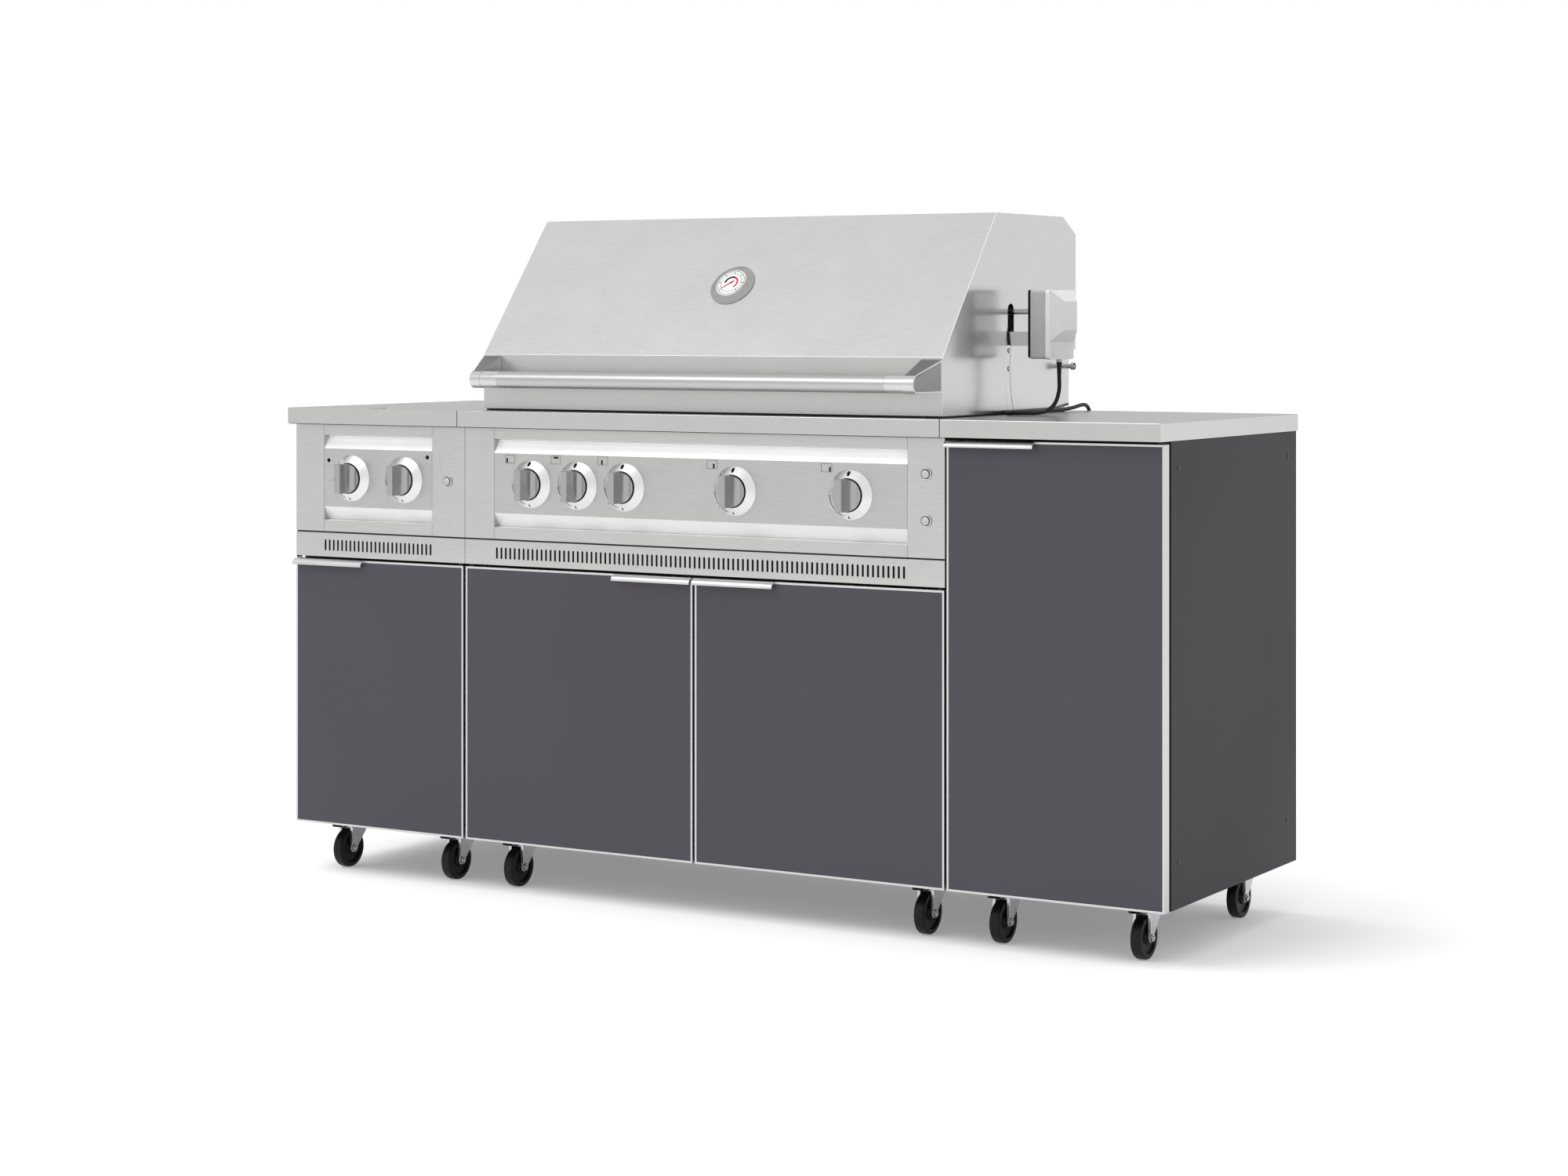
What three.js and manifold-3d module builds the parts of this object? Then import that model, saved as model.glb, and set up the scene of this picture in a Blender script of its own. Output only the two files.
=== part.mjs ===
// Outdoor kitchen island: a grill cabinet between two side cabinets, all on casters.
// Millimetres, +Z up, front towards -Y. The model is laid out from the left front corner of the worktop at
// floor level, then shifted so that its origin is the bottom centre of its box.
import * as THREE from "three";
import { ConvexGeometry } from "three/addons/geometries/ConvexGeometry.js";
import { mergeVertices } from "three/addons/utils/BufferGeometryUtils.js";
import Module from "manifold-3d";

// Sheet metal and fits
const sheet = 2;
const seat_gap = 0.3;
const pin_clearance = 0.35;
const cut_overrun = 5;

// Worktops and the three modules
const counter_height = 914.4;
const worktop_thickness = 31;
const worktop_depth = 622.5;
const side_module_width = 415;
const grill_module_width = 1038;
const module_seam = 1;
const worktop_lip_width = 22;
const worktop_front_lip_width = 66;

// Carcasses under the worktops
const carcass_bottom = 95;
const carcass_front = 50;
const carcass_rear_inset = 2;
const carcass_end_inset = 3;
const carcass_flange_width = 22;
const stile_width = 14;
const rail_height = 22;
const back_vent_height = 12;
const back_vent_pitch = 36;
const back_vent_count = 2;
const back_vent_top_drop = 120;
const back_vent_width_share = 0.5;

// Fascia over the doors: control panels and vent panels
const fascia_front = 25;
const control_panel_height = 212;
const panel_gap = 4;
const vent_panel_height = 46;
const left_panel_start_inset = 1;
const left_section_start_inset = 70.4;
const left_section_end_inset = 77.6;
const grill_panel_start_inset = 1;
const grill_panel_end_inset = 2;
const grill_section_start_inset = 68;
const grill_section_end_inset = 74;
const edge_strip_height = 22;
const groove_depth = 15;
const groove_ledge_drop = 1.5;
const groove_bevel_height = 25.5;
const section_seam_width = 0.8;
const section_seam_depth = 0.8;
const slot_pitch = 10.35;
const slot_width = 4.2;
const slot_height = 22;

// Knobs, their bezels and valve stems
const knob_diameter = 58.4;
const knob_height = 44.8;
const knob_rim_height = 16.5;
const knob_rim_round = 2;
const knob_grip_width = 13.6;
const knob_grip_round = 1;
const knob_back_gap = 1;
const knob_scoop_share = [[0.35, 0.35], [0.5, 0.14], [0.78, 0.03]];
const bezel_diameter = 90;
const bezel_height = 11.6;
const bezel_edge_height = 1;
const bezel_bore = 61;
const stem_diameter = 8;
const stem_reach = 13;
const left_knob_spacing_share = 0.4857;
const grill_knob_shares = [0.0962, 0.2144, 0.3327, 0.6021, 0.8716];

// Igniter buttons and their rings
const button_diameter = 15.4;
const button_proud = 4.5;
const button_length = 13.5;
const button_ring_diameter = 23;
const button_ring_height = 3;
const button_sleeve_depth = 13;
const button_section_offset = 37;
const grill_button_rise = 41;

// Doors
const door_front = 22;
const door_thickness = 20;
const door_frame_width = 4;
const door_face_step = 0.6;
const door_return_width = 24;
const door_top_gap = 4.6;
const right_door_top_gap = 5;
const left_door_end_gap = 1;
const grill_door_start_gap = 4;
const grill_door_end_gap = 1.8;
const grill_door_split_gap = 5;
const right_door_start_gap = 2;
const door_pivot_inset = 10;
const pivot_pin_diameter = 6;
const pivot_pin_length = 12;
const pivot_top_pin_length = 6;
const pivot_tongue_width = 10;
const pivot_tongue_thickness = 3;
const pivot_lug_thickness = 3;
const pull_length = 171;
const pull_radius = 12;
const pull_reach = 13;

// Hood
const hood_side_inset = 22.3;
const hood_front = 56;
const hood_lift = 3.6;
const hood_rear_lift = 10.4;
const hood_skirt_height = 103;
const hood_slope_run = 209;
const hood_slope_rise = 260.5;
const hood_top_run = 277;
const hood_rear_run = 55.5;
const hood_rear_drop = 31.5;
const hood_notch_height = 219;
const hood_notch_depth = 30.5;
const hood_lip_width = 12;
const hood_foot_inset = 42;
const hood_foot_width = 18;
const hood_hinge_y = 533;
const hood_hinge_rise = 85.6;

// Spit, its slot in the hood sides, and its motor
const spit_y = 327;
const spit_rise = 187.6;
const spit_diameter = 10;
const spit_slot_front = 309.5;
const spit_slot_width = 25;
const spit_slot_top_rise = 202.6;
const spit_slot_upper_drop = 52;
const spit_slot_band = 22;
const slot_cover_gap = 0.8;
const slot_cover_floor_gap = 4;
const spit_sweep_clearance = 1.2;
const spit_left_overhang = 14;
const spit_socket_depth = 10;
const spit_fork_hub_diameter = 24;
const spit_fork_hub_length = 20;
const spit_fork_spread = 60;
const spit_fork_prong_length = 90;
const spit_fork_prong_thickness = 5;
const spit_fork_inset = 250;
const motor_stand_off = 56;
const motor_gasket_thickness = 3.5;
const motor_front = 279;
const motor_width = 96;
const motor_bottom_rise = 102.2;
const motor_height = 124.4;
const motor_body_depth = 32.5;
const motor_cover_depth = 8;
const motor_cover_overhang = 3;
const motor_block_height = 31;
const motor_pad_depth = 18;
const motor_pad_side_inset = 24;
const motor_pad_end_inset = 20.5;
const motor_arm_y = 316;
const motor_arm_thickness = 8;
const motor_arm_bottom_rise = 125.6;
const motor_arm_height = 25.6;
const gland_diameter = 11;
const gland_length = 6;
const gland_x_offset = 83;
const gland_y = 352.5;

// Hood handle
const handle_axis_y = -1;
const handle_rise = 60.1;
const handle_tube_diameter = 31.5;
const handle_nose_radius = 16.5;
const bracket_width = 42;
const bracket_taper = 20;
const bracket_top_drop = 3;
const bracket_bottom_rise = 41;
const handle_cap_length = 4;

// Thermometer in the hood slope
const gauge_diameter = 90;
const gauge_dial_diameter = 62.5;
const gauge_height = 10.7;
const gauge_edge_height = 1.5;
const gauge_recess = 3;
const gauge_rim_width = 1.4;
const gauge_slope_share = 0.5;
const probe_diameter = 8;
const probe_length = 26;

// Firebox, cooking grate and burners
const firebox_side_gap = 2.5;
const firebox_flange_width = 8.5;
const firebox_front = 78;
const firebox_rear = 550;
const firebox_depth = 155;
const firebox_cutout_gap = 1;
const firebox_wall_rise = 70;
const firebox_rear_wall_rise = 95;
const spit_post_half_width = 36;
const hinge_ear_half_width = 24;
const hinge_ear_rise = 106;
const hinge_bolt_diameter = 8.6;
const hinge_bolt_reach = 28;
const hinge_head_diameter = 14;
const hinge_head_length = 5;
const grate_drop = 10.4;
const grate_thickness = 8;
const grate_bar_width = 11;
const grate_slot_width = 19;
const grate_frame_width = 14;
const grate_play = 3;
const ledge_width = 16;
const burner_count = 4;
const burner_width = 50;
const burner_side_height = 14;
const burner_crest_height = 10;
const burner_ledge_height = 32;
const burner_end_gap = 8;
const burner_bar_width = 16;
const rear_burner_inset = 180;
const rear_burner_depth = 24;
const rear_burner_height = 66;
const rear_burner_rise = 22;
const drain_size = 60;

// Side burner and its lid, flush in the left worktop
const lid_margin = 14;
const lid_rear_margin = 62.5;
const lid_gap = 1;
const lid_rear_gap = 4;
const lid_ledge_drop = 17.4;
const lid_ledge_width = 20;
const lid_hinge_inset = 7;
const lid_hinge_drop = 7;
const lid_skirt_end_gap = 8;
const lid_lug_half_width = 5;
const lid_pin_diameter = 5;
const lid_pull_width = 31;
const lid_pull_depth = 12;
const lid_pull_height = 1.6;
const pan_flange_gap = 1.5;
const pan_well_side_inset = 38;
const pan_well_front_inset = 80;
const pan_well_rear_inset = 102.5;
const pan_depth = 48;
const pan_burner_diameter = 120;
const pan_burner_height = 24;
const pot_bar_width = 8;
const pot_bar_height = 9;
const pot_bar_spread = 90;

// Casters
const wheel_diameter = 75;
const wheel_width = 19.5;
const wheel_web_width = 12;
const wheel_tread_round = 3;
const wheel_rim_diameter = 58;
const axle_diameter = 8;
const axle_nut_diameter = 14;
const axle_nut_length = 4.5;
const caster_inset = 74;
const caster_row_inset = 75;
const caster_trail = 27;
const fork_inner_width = 22;
const fork_thickness = 2.5;
const fork_flange_width = 11;
const fork_flange_bottom = 45;
const fork_tip_radius = 8.5;
const fork_tip_flat = 4;
const fork_crown_gap = 4;
const fork_crown_overhang = 1;
const fork_rear_reach = 22;
const swivel_race_diameter = 46;
const caster_plate_size = 60;
const caster_plate_thickness = 3;
const pedal_width = 31;
const pedal_reach = 62;
const pedal_thickness = 5;
const pedal_drop = 3.7;

// Power cord and plug
const cord_diameter = 7.3;
const cord_steps = 72;
const cord_sides = 6;
const plug_length = 40;
const plug_width = 30;
const plug_height = 22;
const plug_nose_length = 14;
const plug_nose_width = 14;
const plug_pin_diameter = 4.8;
const plug_pin_length = 19;
const plug_pin_spread = 19;
const plug_floor_gap = 0.4;

// Round facets
const fine_sides = 20;
const knob_sides = 18;
const wheel_sides = 14;
const small_sides = 12;
const pin_sides = 6;
const race_sides = 8;
const arch_steps = 6;
const nose_steps = 8;
const bend_steps = 3;
const slot_end_steps = 2;

// Places worked out from the sizes above
const worktop_under = counter_height - worktop_thickness;
const grill_start = side_module_width + module_seam;
const grill_end = grill_start + grill_module_width;
const right_start = grill_end + module_seam;
const island_width = right_start + side_module_width;
const joint_reach = (module_seam - seat_gap) / 2;
const carcass_rear = worktop_depth - carcass_rear_inset;
const carcass_top = worktop_under - seat_gap;
const fascia_back = carcass_front - seat_gap;
const control_bottom = carcass_top - control_panel_height;
const vent_top = control_bottom - panel_gap;
const vent_bottom = vent_top - vent_panel_height;
const door_top = vent_bottom - door_top_gap;
const right_door_top = worktop_under - right_door_top_gap;
const door_back = door_front + door_thickness;
const door_pivot_y = door_front + door_thickness / 2;
const field_top = carcass_top - edge_strip_height - groove_ledge_drop - groove_bevel_height;
const field_bottom = control_bottom + edge_strip_height + groove_ledge_drop + groove_bevel_height;
const knob_z = (field_top + field_bottom) / 2;
const left_section_start = left_panel_start_inset + left_section_start_inset;
const left_section_end = side_module_width - left_section_end_inset;
const grill_panel_start = grill_start + grill_panel_start_inset;
const grill_panel_end = grill_end - grill_panel_end_inset;
const grill_section_start = grill_panel_start + grill_section_start_inset;
const grill_section_end = grill_panel_end - grill_section_end_inset;
const grill_center = (grill_start + grill_end) / 2;
const hood_left = grill_start + hood_side_inset;
const hood_right = grill_end - hood_side_inset;
const hood_bottom = counter_height + hood_lift;
const hood_skirt_top = hood_bottom + hood_skirt_height;
const hood_slope_end = hood_front + hood_slope_run;
const hood_top = hood_skirt_top + hood_slope_rise;
const hood_top_end = hood_slope_end + hood_top_run;
const hood_rear = hood_top_end + hood_rear_run;
const hood_rear_top = hood_top - hood_rear_drop;
const hood_notch_z = hood_rear_top - hood_notch_height;
const hood_notch_y = hood_rear - hood_notch_depth;
const hinge_z = counter_height + hood_hinge_rise;
const spit_z = counter_height + spit_rise;
const handle_z = counter_height + handle_rise;
const motor_face = hood_right + motor_stand_off;
const motor_bottom = counter_height + motor_bottom_rise;
const motor_top = motor_bottom + motor_height;
const motor_rear = motor_front + motor_width;
const firebox_left = hood_left + sheet + firebox_side_gap;
const firebox_right = hood_right - sheet - firebox_side_gap;
const tub_left = firebox_left + firebox_flange_width;
const tub_right = firebox_right - firebox_flange_width;
const flange_bottom = counter_height + seat_gap;
const flange_top = flange_bottom + sheet;
const tub_bottom = flange_bottom - firebox_depth;
const lid_left = lid_margin;
const lid_right = side_module_width - lid_margin;
const lid_rear = worktop_depth - lid_rear_margin;
const lid_hinge_y = lid_rear - lid_hinge_inset;
const lid_hinge_z = counter_height - lid_hinge_drop;
const ledge_top = counter_height - lid_ledge_drop;
const wheel_radius = wheel_diameter / 2;
const caster_plate_bottom = carcass_bottom - caster_plate_thickness;
const crown_bottom = wheel_diameter + fork_crown_gap;
const cabinets = [
  { name: "left", start: carcass_end_inset, end: side_module_width + joint_reach },
  { name: "center", start: grill_start - joint_reach, end: grill_end + joint_reach },
  { name: "right", start: right_start - joint_reach, end: island_width - carcass_end_inset },
];
const modules = [
  { name: "left", start: 0, end: side_module_width },
  { name: "center", start: grill_start, end: grill_end },
  { name: "right", start: right_start, end: island_width },
];
const grill_door_split = (grill_start + grill_door_start_gap + grill_end - grill_door_end_gap) / 2;
const doors = [
  {
    name: "door_left",
    cabinet: "left",
    start: carcass_end_inset,
    end: side_module_width - left_door_end_gap,
    top: door_top,
    hinge_side: 1,
  },
  {
    name: "door_center_left",
    cabinet: "center",
    start: grill_start + grill_door_start_gap,
    end: grill_door_split - grill_door_split_gap / 2,
    top: door_top,
    hinge_side: -1,
  },
  {
    name: "door_center_right",
    cabinet: "center",
    start: grill_door_split + grill_door_split_gap / 2,
    end: grill_end - grill_door_end_gap,
    top: door_top,
    hinge_side: 1,
  },
  {
    name: "door_right",
    cabinet: "right",
    start: right_start + right_door_start_gap,
    end: island_width - carcass_end_inset,
    top: right_door_top,
    hinge_side: 1,
  },
];
const left_section_width = left_section_end - left_section_start;
const grill_section_width = grill_section_end - grill_section_start;
const knobs = [
  { name: "knob_left_1", x: left_section_start + (left_section_width * (1 - left_knob_spacing_share)) / 2 },
  { name: "knob_left_2", x: left_section_start + (left_section_width * (1 + left_knob_spacing_share)) / 2 },
];
for (const [index, share] of grill_knob_shares.entries()) {
  knobs.push({ name: `knob_center_${index + 1}`, x: grill_section_start + grill_section_width * share });
}
const left_button_x = left_section_end + button_section_offset;
const grill_button_x = grill_section_end + button_section_offset;
const buttons = [
  { name: "igniter_button_left", x: left_button_x, z: knob_z },
  { name: "igniter_button_upper", x: grill_button_x, z: knob_z + grill_button_rise },
  { name: "igniter_button_lower", x: grill_button_x, z: knob_z - grill_button_rise },
];

// Materials
const materials = {
  steel: new THREE.MeshStandardMaterial({ color: 0xc6c7c5, roughness: 0.38, metalness: 1 }),
  bright: new THREE.MeshStandardMaterial({ color: 0xdcdcdc, roughness: 0.22, metalness: 1 }),
  paint: new THREE.MeshStandardMaterial({ color: 0x56535b, roughness: 0.5, metalness: 0.2 }),
  iron: new THREE.MeshStandardMaterial({ color: 0x2a2a2b, roughness: 0.7, metalness: 0.4 }),
  zinc: new THREE.MeshStandardMaterial({ color: 0xa3a5a6, roughness: 0.4, metalness: 1 }),
  rubber: new THREE.MeshStandardMaterial({ color: 0x141414, roughness: 0.75, metalness: 0 }),
  plastic: new THREE.MeshStandardMaterial({ color: 0xd2d3d4, roughness: 0.5, metalness: 0 }),
  dial: new THREE.MeshStandardMaterial({ color: 0xe9e9e6, roughness: 0.3, metalness: 0.2 }),
};

const wasm = await Module();
wasm.setup();

// A closed geometry as a solid with its faces outwards.
// Faces that shrink to a line, as at a lathe's axis, are left out.
function solidOf(geometry) {
  const source = geometry.index ? geometry.toNonIndexed() : geometry;
  const bare = new THREE.BufferGeometry();
  bare.setAttribute("position", source.getAttribute("position").clone());
  const merged = mergeVertices(bare);
  const index = merged.index.array;
  const triangles = [];
  for (let i = 0; i < index.length; i += 3) {
    const [a, b, c] = [index[i], index[i + 1], index[i + 2]];
    if (a !== b && b !== c && c !== a) triangles.push([a, b, c]);
  }
  const vertices = new Float32Array(merged.getAttribute("position").array);
  const make = (faces) =>
    new wasm.Manifold(
      new wasm.Mesh({ numProp: 3, vertProperties: vertices, triVerts: new Uint32Array(faces.flat()) }),
    );
  const solid = make(triangles);
  return solid.volume() > 0 ? solid : make(triangles.map(([a, b, c]) => [a, c, b]));
}

function geometryOf(solid) {
  const mesh = solid.getMesh();
  const geometry = new THREE.BufferGeometry();
  geometry.setAttribute("position", new THREE.BufferAttribute(new Float32Array(mesh.vertProperties), 3));
  geometry.setIndex(new THREE.BufferAttribute(new Uint32Array(mesh.triVerts), 1));
  const flat = geometry.toNonIndexed();
  flat.computeVertexNormals();
  return flat;
}

const union = (...solids) => solids.reduce((all, solid) => all.add(solid));
const cut = (body, ...tools) => tools.reduce((left, tool) => left.subtract(tool), body);

// A box from its limits along X, Y and Z.
function block([x0, x1], [y0, y1], [z0, z1]) {
  const geometry = new THREE.BoxGeometry(x1 - x0, y1 - y0, z1 - z0);
  geometry.translate((x0 + x1) / 2, (y0 + y1) / 2, (z0 + z1) / 2);
  return solidOf(geometry);
}

// A box of sheet metal whose side named by open is missing: its walls are one sheet thick.
function tray([x0, x1], [y0, y1], [z0, z1], open) {
  const reach = (side) => (open === side ? -cut_overrun : sheet);
  const hollow = block(
    [x0 + sheet, x1 - sheet],
    [y0 + reach("front"), y1 - reach("back")],
    [z0 + reach("bottom"), z1 - reach("top")],
  );
  return cut(block([x0, x1], [y0, y1], [z0, z1]), hollow);
}

function extruded(outline, length, holes = []) {
  const shape = new THREE.Shape(outline.map(([u, v]) => new THREE.Vector2(u, v)));
  for (const hole of holes) shape.holes.push(new THREE.Path(hole.map(([u, v]) => new THREE.Vector2(u, v))));
  return new THREE.ExtrudeGeometry(shape, { depth: length, bevelEnabled: false });
}

// An outline of [y, z] points drawn out along X.
function alongX(outline, [x0, x1]) {
  const geometry = extruded(outline, x1 - x0);
  const turn = new THREE.Matrix4().makeBasis(
    new THREE.Vector3(0, 1, 0),
    new THREE.Vector3(0, 0, 1),
    new THREE.Vector3(1, 0, 0),
  );
  geometry.applyMatrix4(turn).translate(x0, 0, 0);
  return solidOf(geometry);
}

// An outline of [x, z] points drawn out along Y, with holes in it if need be.
function alongY(outline, [y0, y1], holes = []) {
  const geometry = extruded(outline, y1 - y0, holes);
  const turn = new THREE.Matrix4().makeBasis(
    new THREE.Vector3(1, 0, 0),
    new THREE.Vector3(0, 0, 1),
    new THREE.Vector3(0, -1, 0),
  );
  geometry.applyMatrix4(turn).translate(0, y1, 0);
  return solidOf(geometry);
}

// An outline of [x, y] points drawn out along Z.
function alongZ(outline, [z0, z1]) {
  const geometry = extruded(outline, z1 - z0);
  geometry.translate(0, 0, z0);
  return solidOf(geometry);
}

// A profile of [radius, height] points turned about an axis through place, with its heights along direction.
function turned(profile, sides, place, direction, start_angle = 0) {
  const points = profile.map(([radius, height]) => new THREE.Vector2(radius, height));
  const geometry = new THREE.LatheGeometry(points, sides, start_angle);
  const aim = new THREE.Quaternion().setFromUnitVectors(new THREE.Vector3(0, 1, 0), direction);
  geometry.applyQuaternion(aim).translate(...place);
  return solidOf(geometry);
}

function rod(diameter, sides, place, direction, from, to) {
  const radius = diameter / 2;
  const profile = [[0, from], [radius, from], [radius, to], [0, to]];
  return turned(profile, sides, place, direction);
}

const x_axis = new THREE.Vector3(1, 0, 0);
const z_axis = new THREE.Vector3(0, 0, 1);
const forward = new THREE.Vector3(0, -1, 0);

const mirrorAcross = (outline, middle) => outline.map(([u, v]) => [2 * middle - u, v]).reverse();

function rectangle([u0, u1], [v0, v1]) {
  return [[u0, v0], [u1, v0], [u1, v1], [u0, v1]];
}

function arcPoints([cu, cv], radius, from, to, steps) {
  const points = [];
  for (let i = 0; i <= steps; i++) {
    const angle = from + ((to - from) * i) / steps;
    points.push([cu + radius * Math.cos(angle), cv + radius * Math.sin(angle)]);
  }
  return points;
}

// The line moved to its left by a distance, with mitred corners.
function offsetLine(line, distance) {
  const normals = line.slice(1).map(([u, v], i) => {
    const run = [u - line[i][0], v - line[i][1]];
    const length = Math.hypot(...run);
    return [-run[1] / length, run[0] / length];
  });
  return line.map(([u, v], i) => {
    const before = normals[Math.max(i - 1, 0)];
    const after = normals[Math.min(i, normals.length - 1)];
    const spread = 1 + before[0] * after[0] + before[1] * after[1];
    return [
      u + (distance * (before[0] + after[0])) / spread,
      v + (distance * (before[1] + after[1])) / spread,
    ];
  });
}

// The outline of a sheet folded along a line, with its thickness to the left of the line.
const foldedSheet = (line) => [...line, ...offsetLine(line, sheet).reverse()];

const island = new THREE.Group();

function piece(name, solid, material) {
  const mesh = new THREE.Mesh(geometryOf(solid), material.clone());
  mesh.name = name;
  island.add(mesh);
  return mesh;
}

// Cabinets
const caster_rows = [carcass_front + caster_row_inset, carcass_rear - caster_row_inset];
const casterColumns = ({ start, end }) => [start + caster_inset, end - caster_inset];
const pivotX = (door) =>
  door.hinge_side > 0 ? door.end - door_pivot_inset : door.start + door_pivot_inset;

function pivotBrackets(door) {
  const x = pivotX(door);
  const half = pivot_tongue_width / 2;
  const span = [x - half, x + half];
  const reach = [door_pivot_y - half, carcass_front + sheet];
  const low_top = carcass_bottom + pivot_tongue_thickness;
  const high_bottom = door.top + seat_gap;
  const pin_low = door.top - pivot_top_pin_length;
  const axis = [x, door_pivot_y, 0];
  return [
    block(span, reach, [carcass_bottom, low_top]),
    rod(pivot_pin_diameter, small_sides, axis, z_axis, carcass_bottom, low_top + pivot_pin_length),
    block(span, reach, [high_bottom, high_bottom + pivot_tongue_thickness]),
    rod(pivot_pin_diameter, small_sides, axis, z_axis, pin_low, high_bottom + sheet),
  ];
}

function cabinet({ name, start, end }, module) {
  const own_doors = doors.filter((door) => door.cabinet === name);
  const floor = carcass_bottom + sheet;
  const window_span = [start + stile_width, end - stile_width];
  const front_cut = [carcass_front - cut_overrun, carcass_front + sheet + cut_overrun];
  const under_rail = name === "right" ? carcass_top - rail_height : own_doors[0].top + seat_gap;
  const cuts = [
    block(
      [start + sheet, end - sheet],
      [carcass_front + sheet, carcass_rear - sheet],
      [floor, carcass_top - sheet],
    ),
    block(window_span, front_cut, [floor, under_rail]),
    block(
      [start + carcass_flange_width, end - carcass_flange_width],
      [carcass_front + carcass_flange_width, carcass_rear - carcass_flange_width],
      [carcass_top - sheet - cut_overrun, carcass_top + cut_overrun],
    ),
  ];
  if (name !== "right") {
    cuts.push(block(window_span, front_cut, [vent_bottom + rail_height / 2, vent_top - rail_height / 2]));
    cuts.push(block(window_span, front_cut, [control_bottom + rail_height, carcass_top - rail_height]));
  }
  const half_vent = ((end - start) * back_vent_width_share) / 2;
  const middle = (start + end) / 2;
  for (let row = 0; row < back_vent_count; row++) {
    const top = carcass_top - back_vent_top_drop - row * back_vent_pitch;
    const through = [carcass_rear - sheet - cut_overrun, carcass_rear + cut_overrun];
    cuts.push(block([middle - half_vent, middle + half_vent], through, [top - back_vent_height, top]));
  }
  const full = block([start, end], [carcass_front, carcass_rear], [carcass_bottom, carcass_top]);
  const shell = cut(full, ...cuts);
  const half_plate = caster_plate_size / 2;
  const plates = casterColumns(module).flatMap((x) =>
    caster_rows.map((y) =>
      block([x - half_plate, x + half_plate], [y - half_plate, y + half_plate], [caster_plate_bottom, floor]),
    ),
  );
  return union(shell, ...plates, ...own_doors.flatMap(pivotBrackets));
}

for (const [index, carcass] of cabinets.entries()) {
  piece(`cabinet_${carcass.name}`, cabinet(carcass, modules[index]), materials.paint);
}

// Worktops
function worktop({ start, end }) {
  const inner = [start + sheet, end - sheet];
  const hollow = block(
    inner,
    [sheet, worktop_depth - sheet],
    [worktop_under + sheet, counter_height - sheet],
  );
  const mouth = block(
    [start + worktop_lip_width, end - worktop_lip_width],
    [worktop_front_lip_width, worktop_depth - worktop_lip_width],
    [worktop_under - cut_overrun, worktop_under + sheet + cut_overrun],
  );
  return cut(block([start, end], [0, worktop_depth], [worktop_under, counter_height]), hollow, mouth);
}

function leftWorktop() {
  const rim_x = [lid_left - lid_gap, lid_right + lid_gap];
  const rim_y = [lid_margin - lid_gap, lid_rear + lid_rear_gap];
  const rim = block(
    [rim_x[0] - sheet, rim_x[1] + sheet],
    [rim_y[0] - sheet, rim_y[1] + sheet],
    [ledge_top - sheet, counter_height],
  );
  const recess = block(rim_x, rim_y, [ledge_top, counter_height + cut_overrun]);
  const well = block(
    [rim_x[0] + lid_ledge_width, rim_x[1] - lid_ledge_width],
    [rim_y[0] + lid_ledge_width, rim_y[1] - lid_ledge_width],
    [worktop_under, counter_height + cut_overrun],
  );
  const hole = rod(
    lid_pin_diameter + 2 * pin_clearance,
    small_sides,
    [0, lid_hinge_y, lid_hinge_z],
    x_axis,
    rim_x[0] - sheet - lid_gap,
    rim_x[1] + sheet + lid_gap,
  );
  return cut(union(worktop(modules[0]), rim), recess, well, hole);
}

function grillWorktop() {
  const opening = block(
    [tub_left - firebox_cutout_gap, tub_right + firebox_cutout_gap],
    [firebox_front - firebox_cutout_gap, firebox_rear + firebox_cutout_gap],
    [counter_height - sheet - cut_overrun, counter_height + cut_overrun],
  );
  return cut(worktop(modules[1]), opening);
}

piece("worktop_left", leftWorktop(), materials.steel);
piece("worktop_center", grillWorktop(), materials.steel);
piece("worktop_right", worktop(modules[2]), materials.steel);

// Control panels: a folded field between two side strips, with grooves above and below it
function fieldSheet(start, end) {
  const groove = fascia_front + groove_depth;
  const line = [
    [fascia_back, carcass_top],
    [fascia_front, carcass_top],
    [fascia_front, carcass_top - edge_strip_height],
    [groove, carcass_top - edge_strip_height - groove_ledge_drop],
    [fascia_front, field_top],
    [fascia_front, field_bottom],
    [groove, control_bottom + edge_strip_height + groove_ledge_drop],
    [fascia_front, control_bottom + edge_strip_height],
    [fascia_front, control_bottom],
    [fascia_back, control_bottom],
  ];
  return alongX(foldedSheet(line), [start - sheet / 2, end + sheet / 2]);
}

function bezel(x) {
  const outer = bezel_diameter / 2;
  const bore = bezel_bore / 2;
  const profile = [
    [bore, -sheet / 2],
    [outer, -sheet / 2],
    [outer, bezel_edge_height],
    [bore, bezel_height],
    [bore, -sheet / 2],
  ];
  return turned(profile, fine_sides, [x, fascia_front, knob_z], forward);
}

const valveStem = (x) =>
  rod(stem_diameter, small_sides, [x, fascia_front, knob_z], forward, -sheet / 2, stem_reach);

const button_bore = button_diameter + 2 * pin_clearance;

function buttonRing({ x, z }) {
  const outer = button_ring_diameter / 2;
  const bore = button_bore / 2;
  const profile = [
    [bore, -button_sleeve_depth],
    [outer, -button_sleeve_depth],
    [outer, button_ring_height],
    [bore, button_ring_height],
    [bore, -button_sleeve_depth],
  ];
  return turned(profile, small_sides, [x, fascia_front, z], forward);
}

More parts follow.
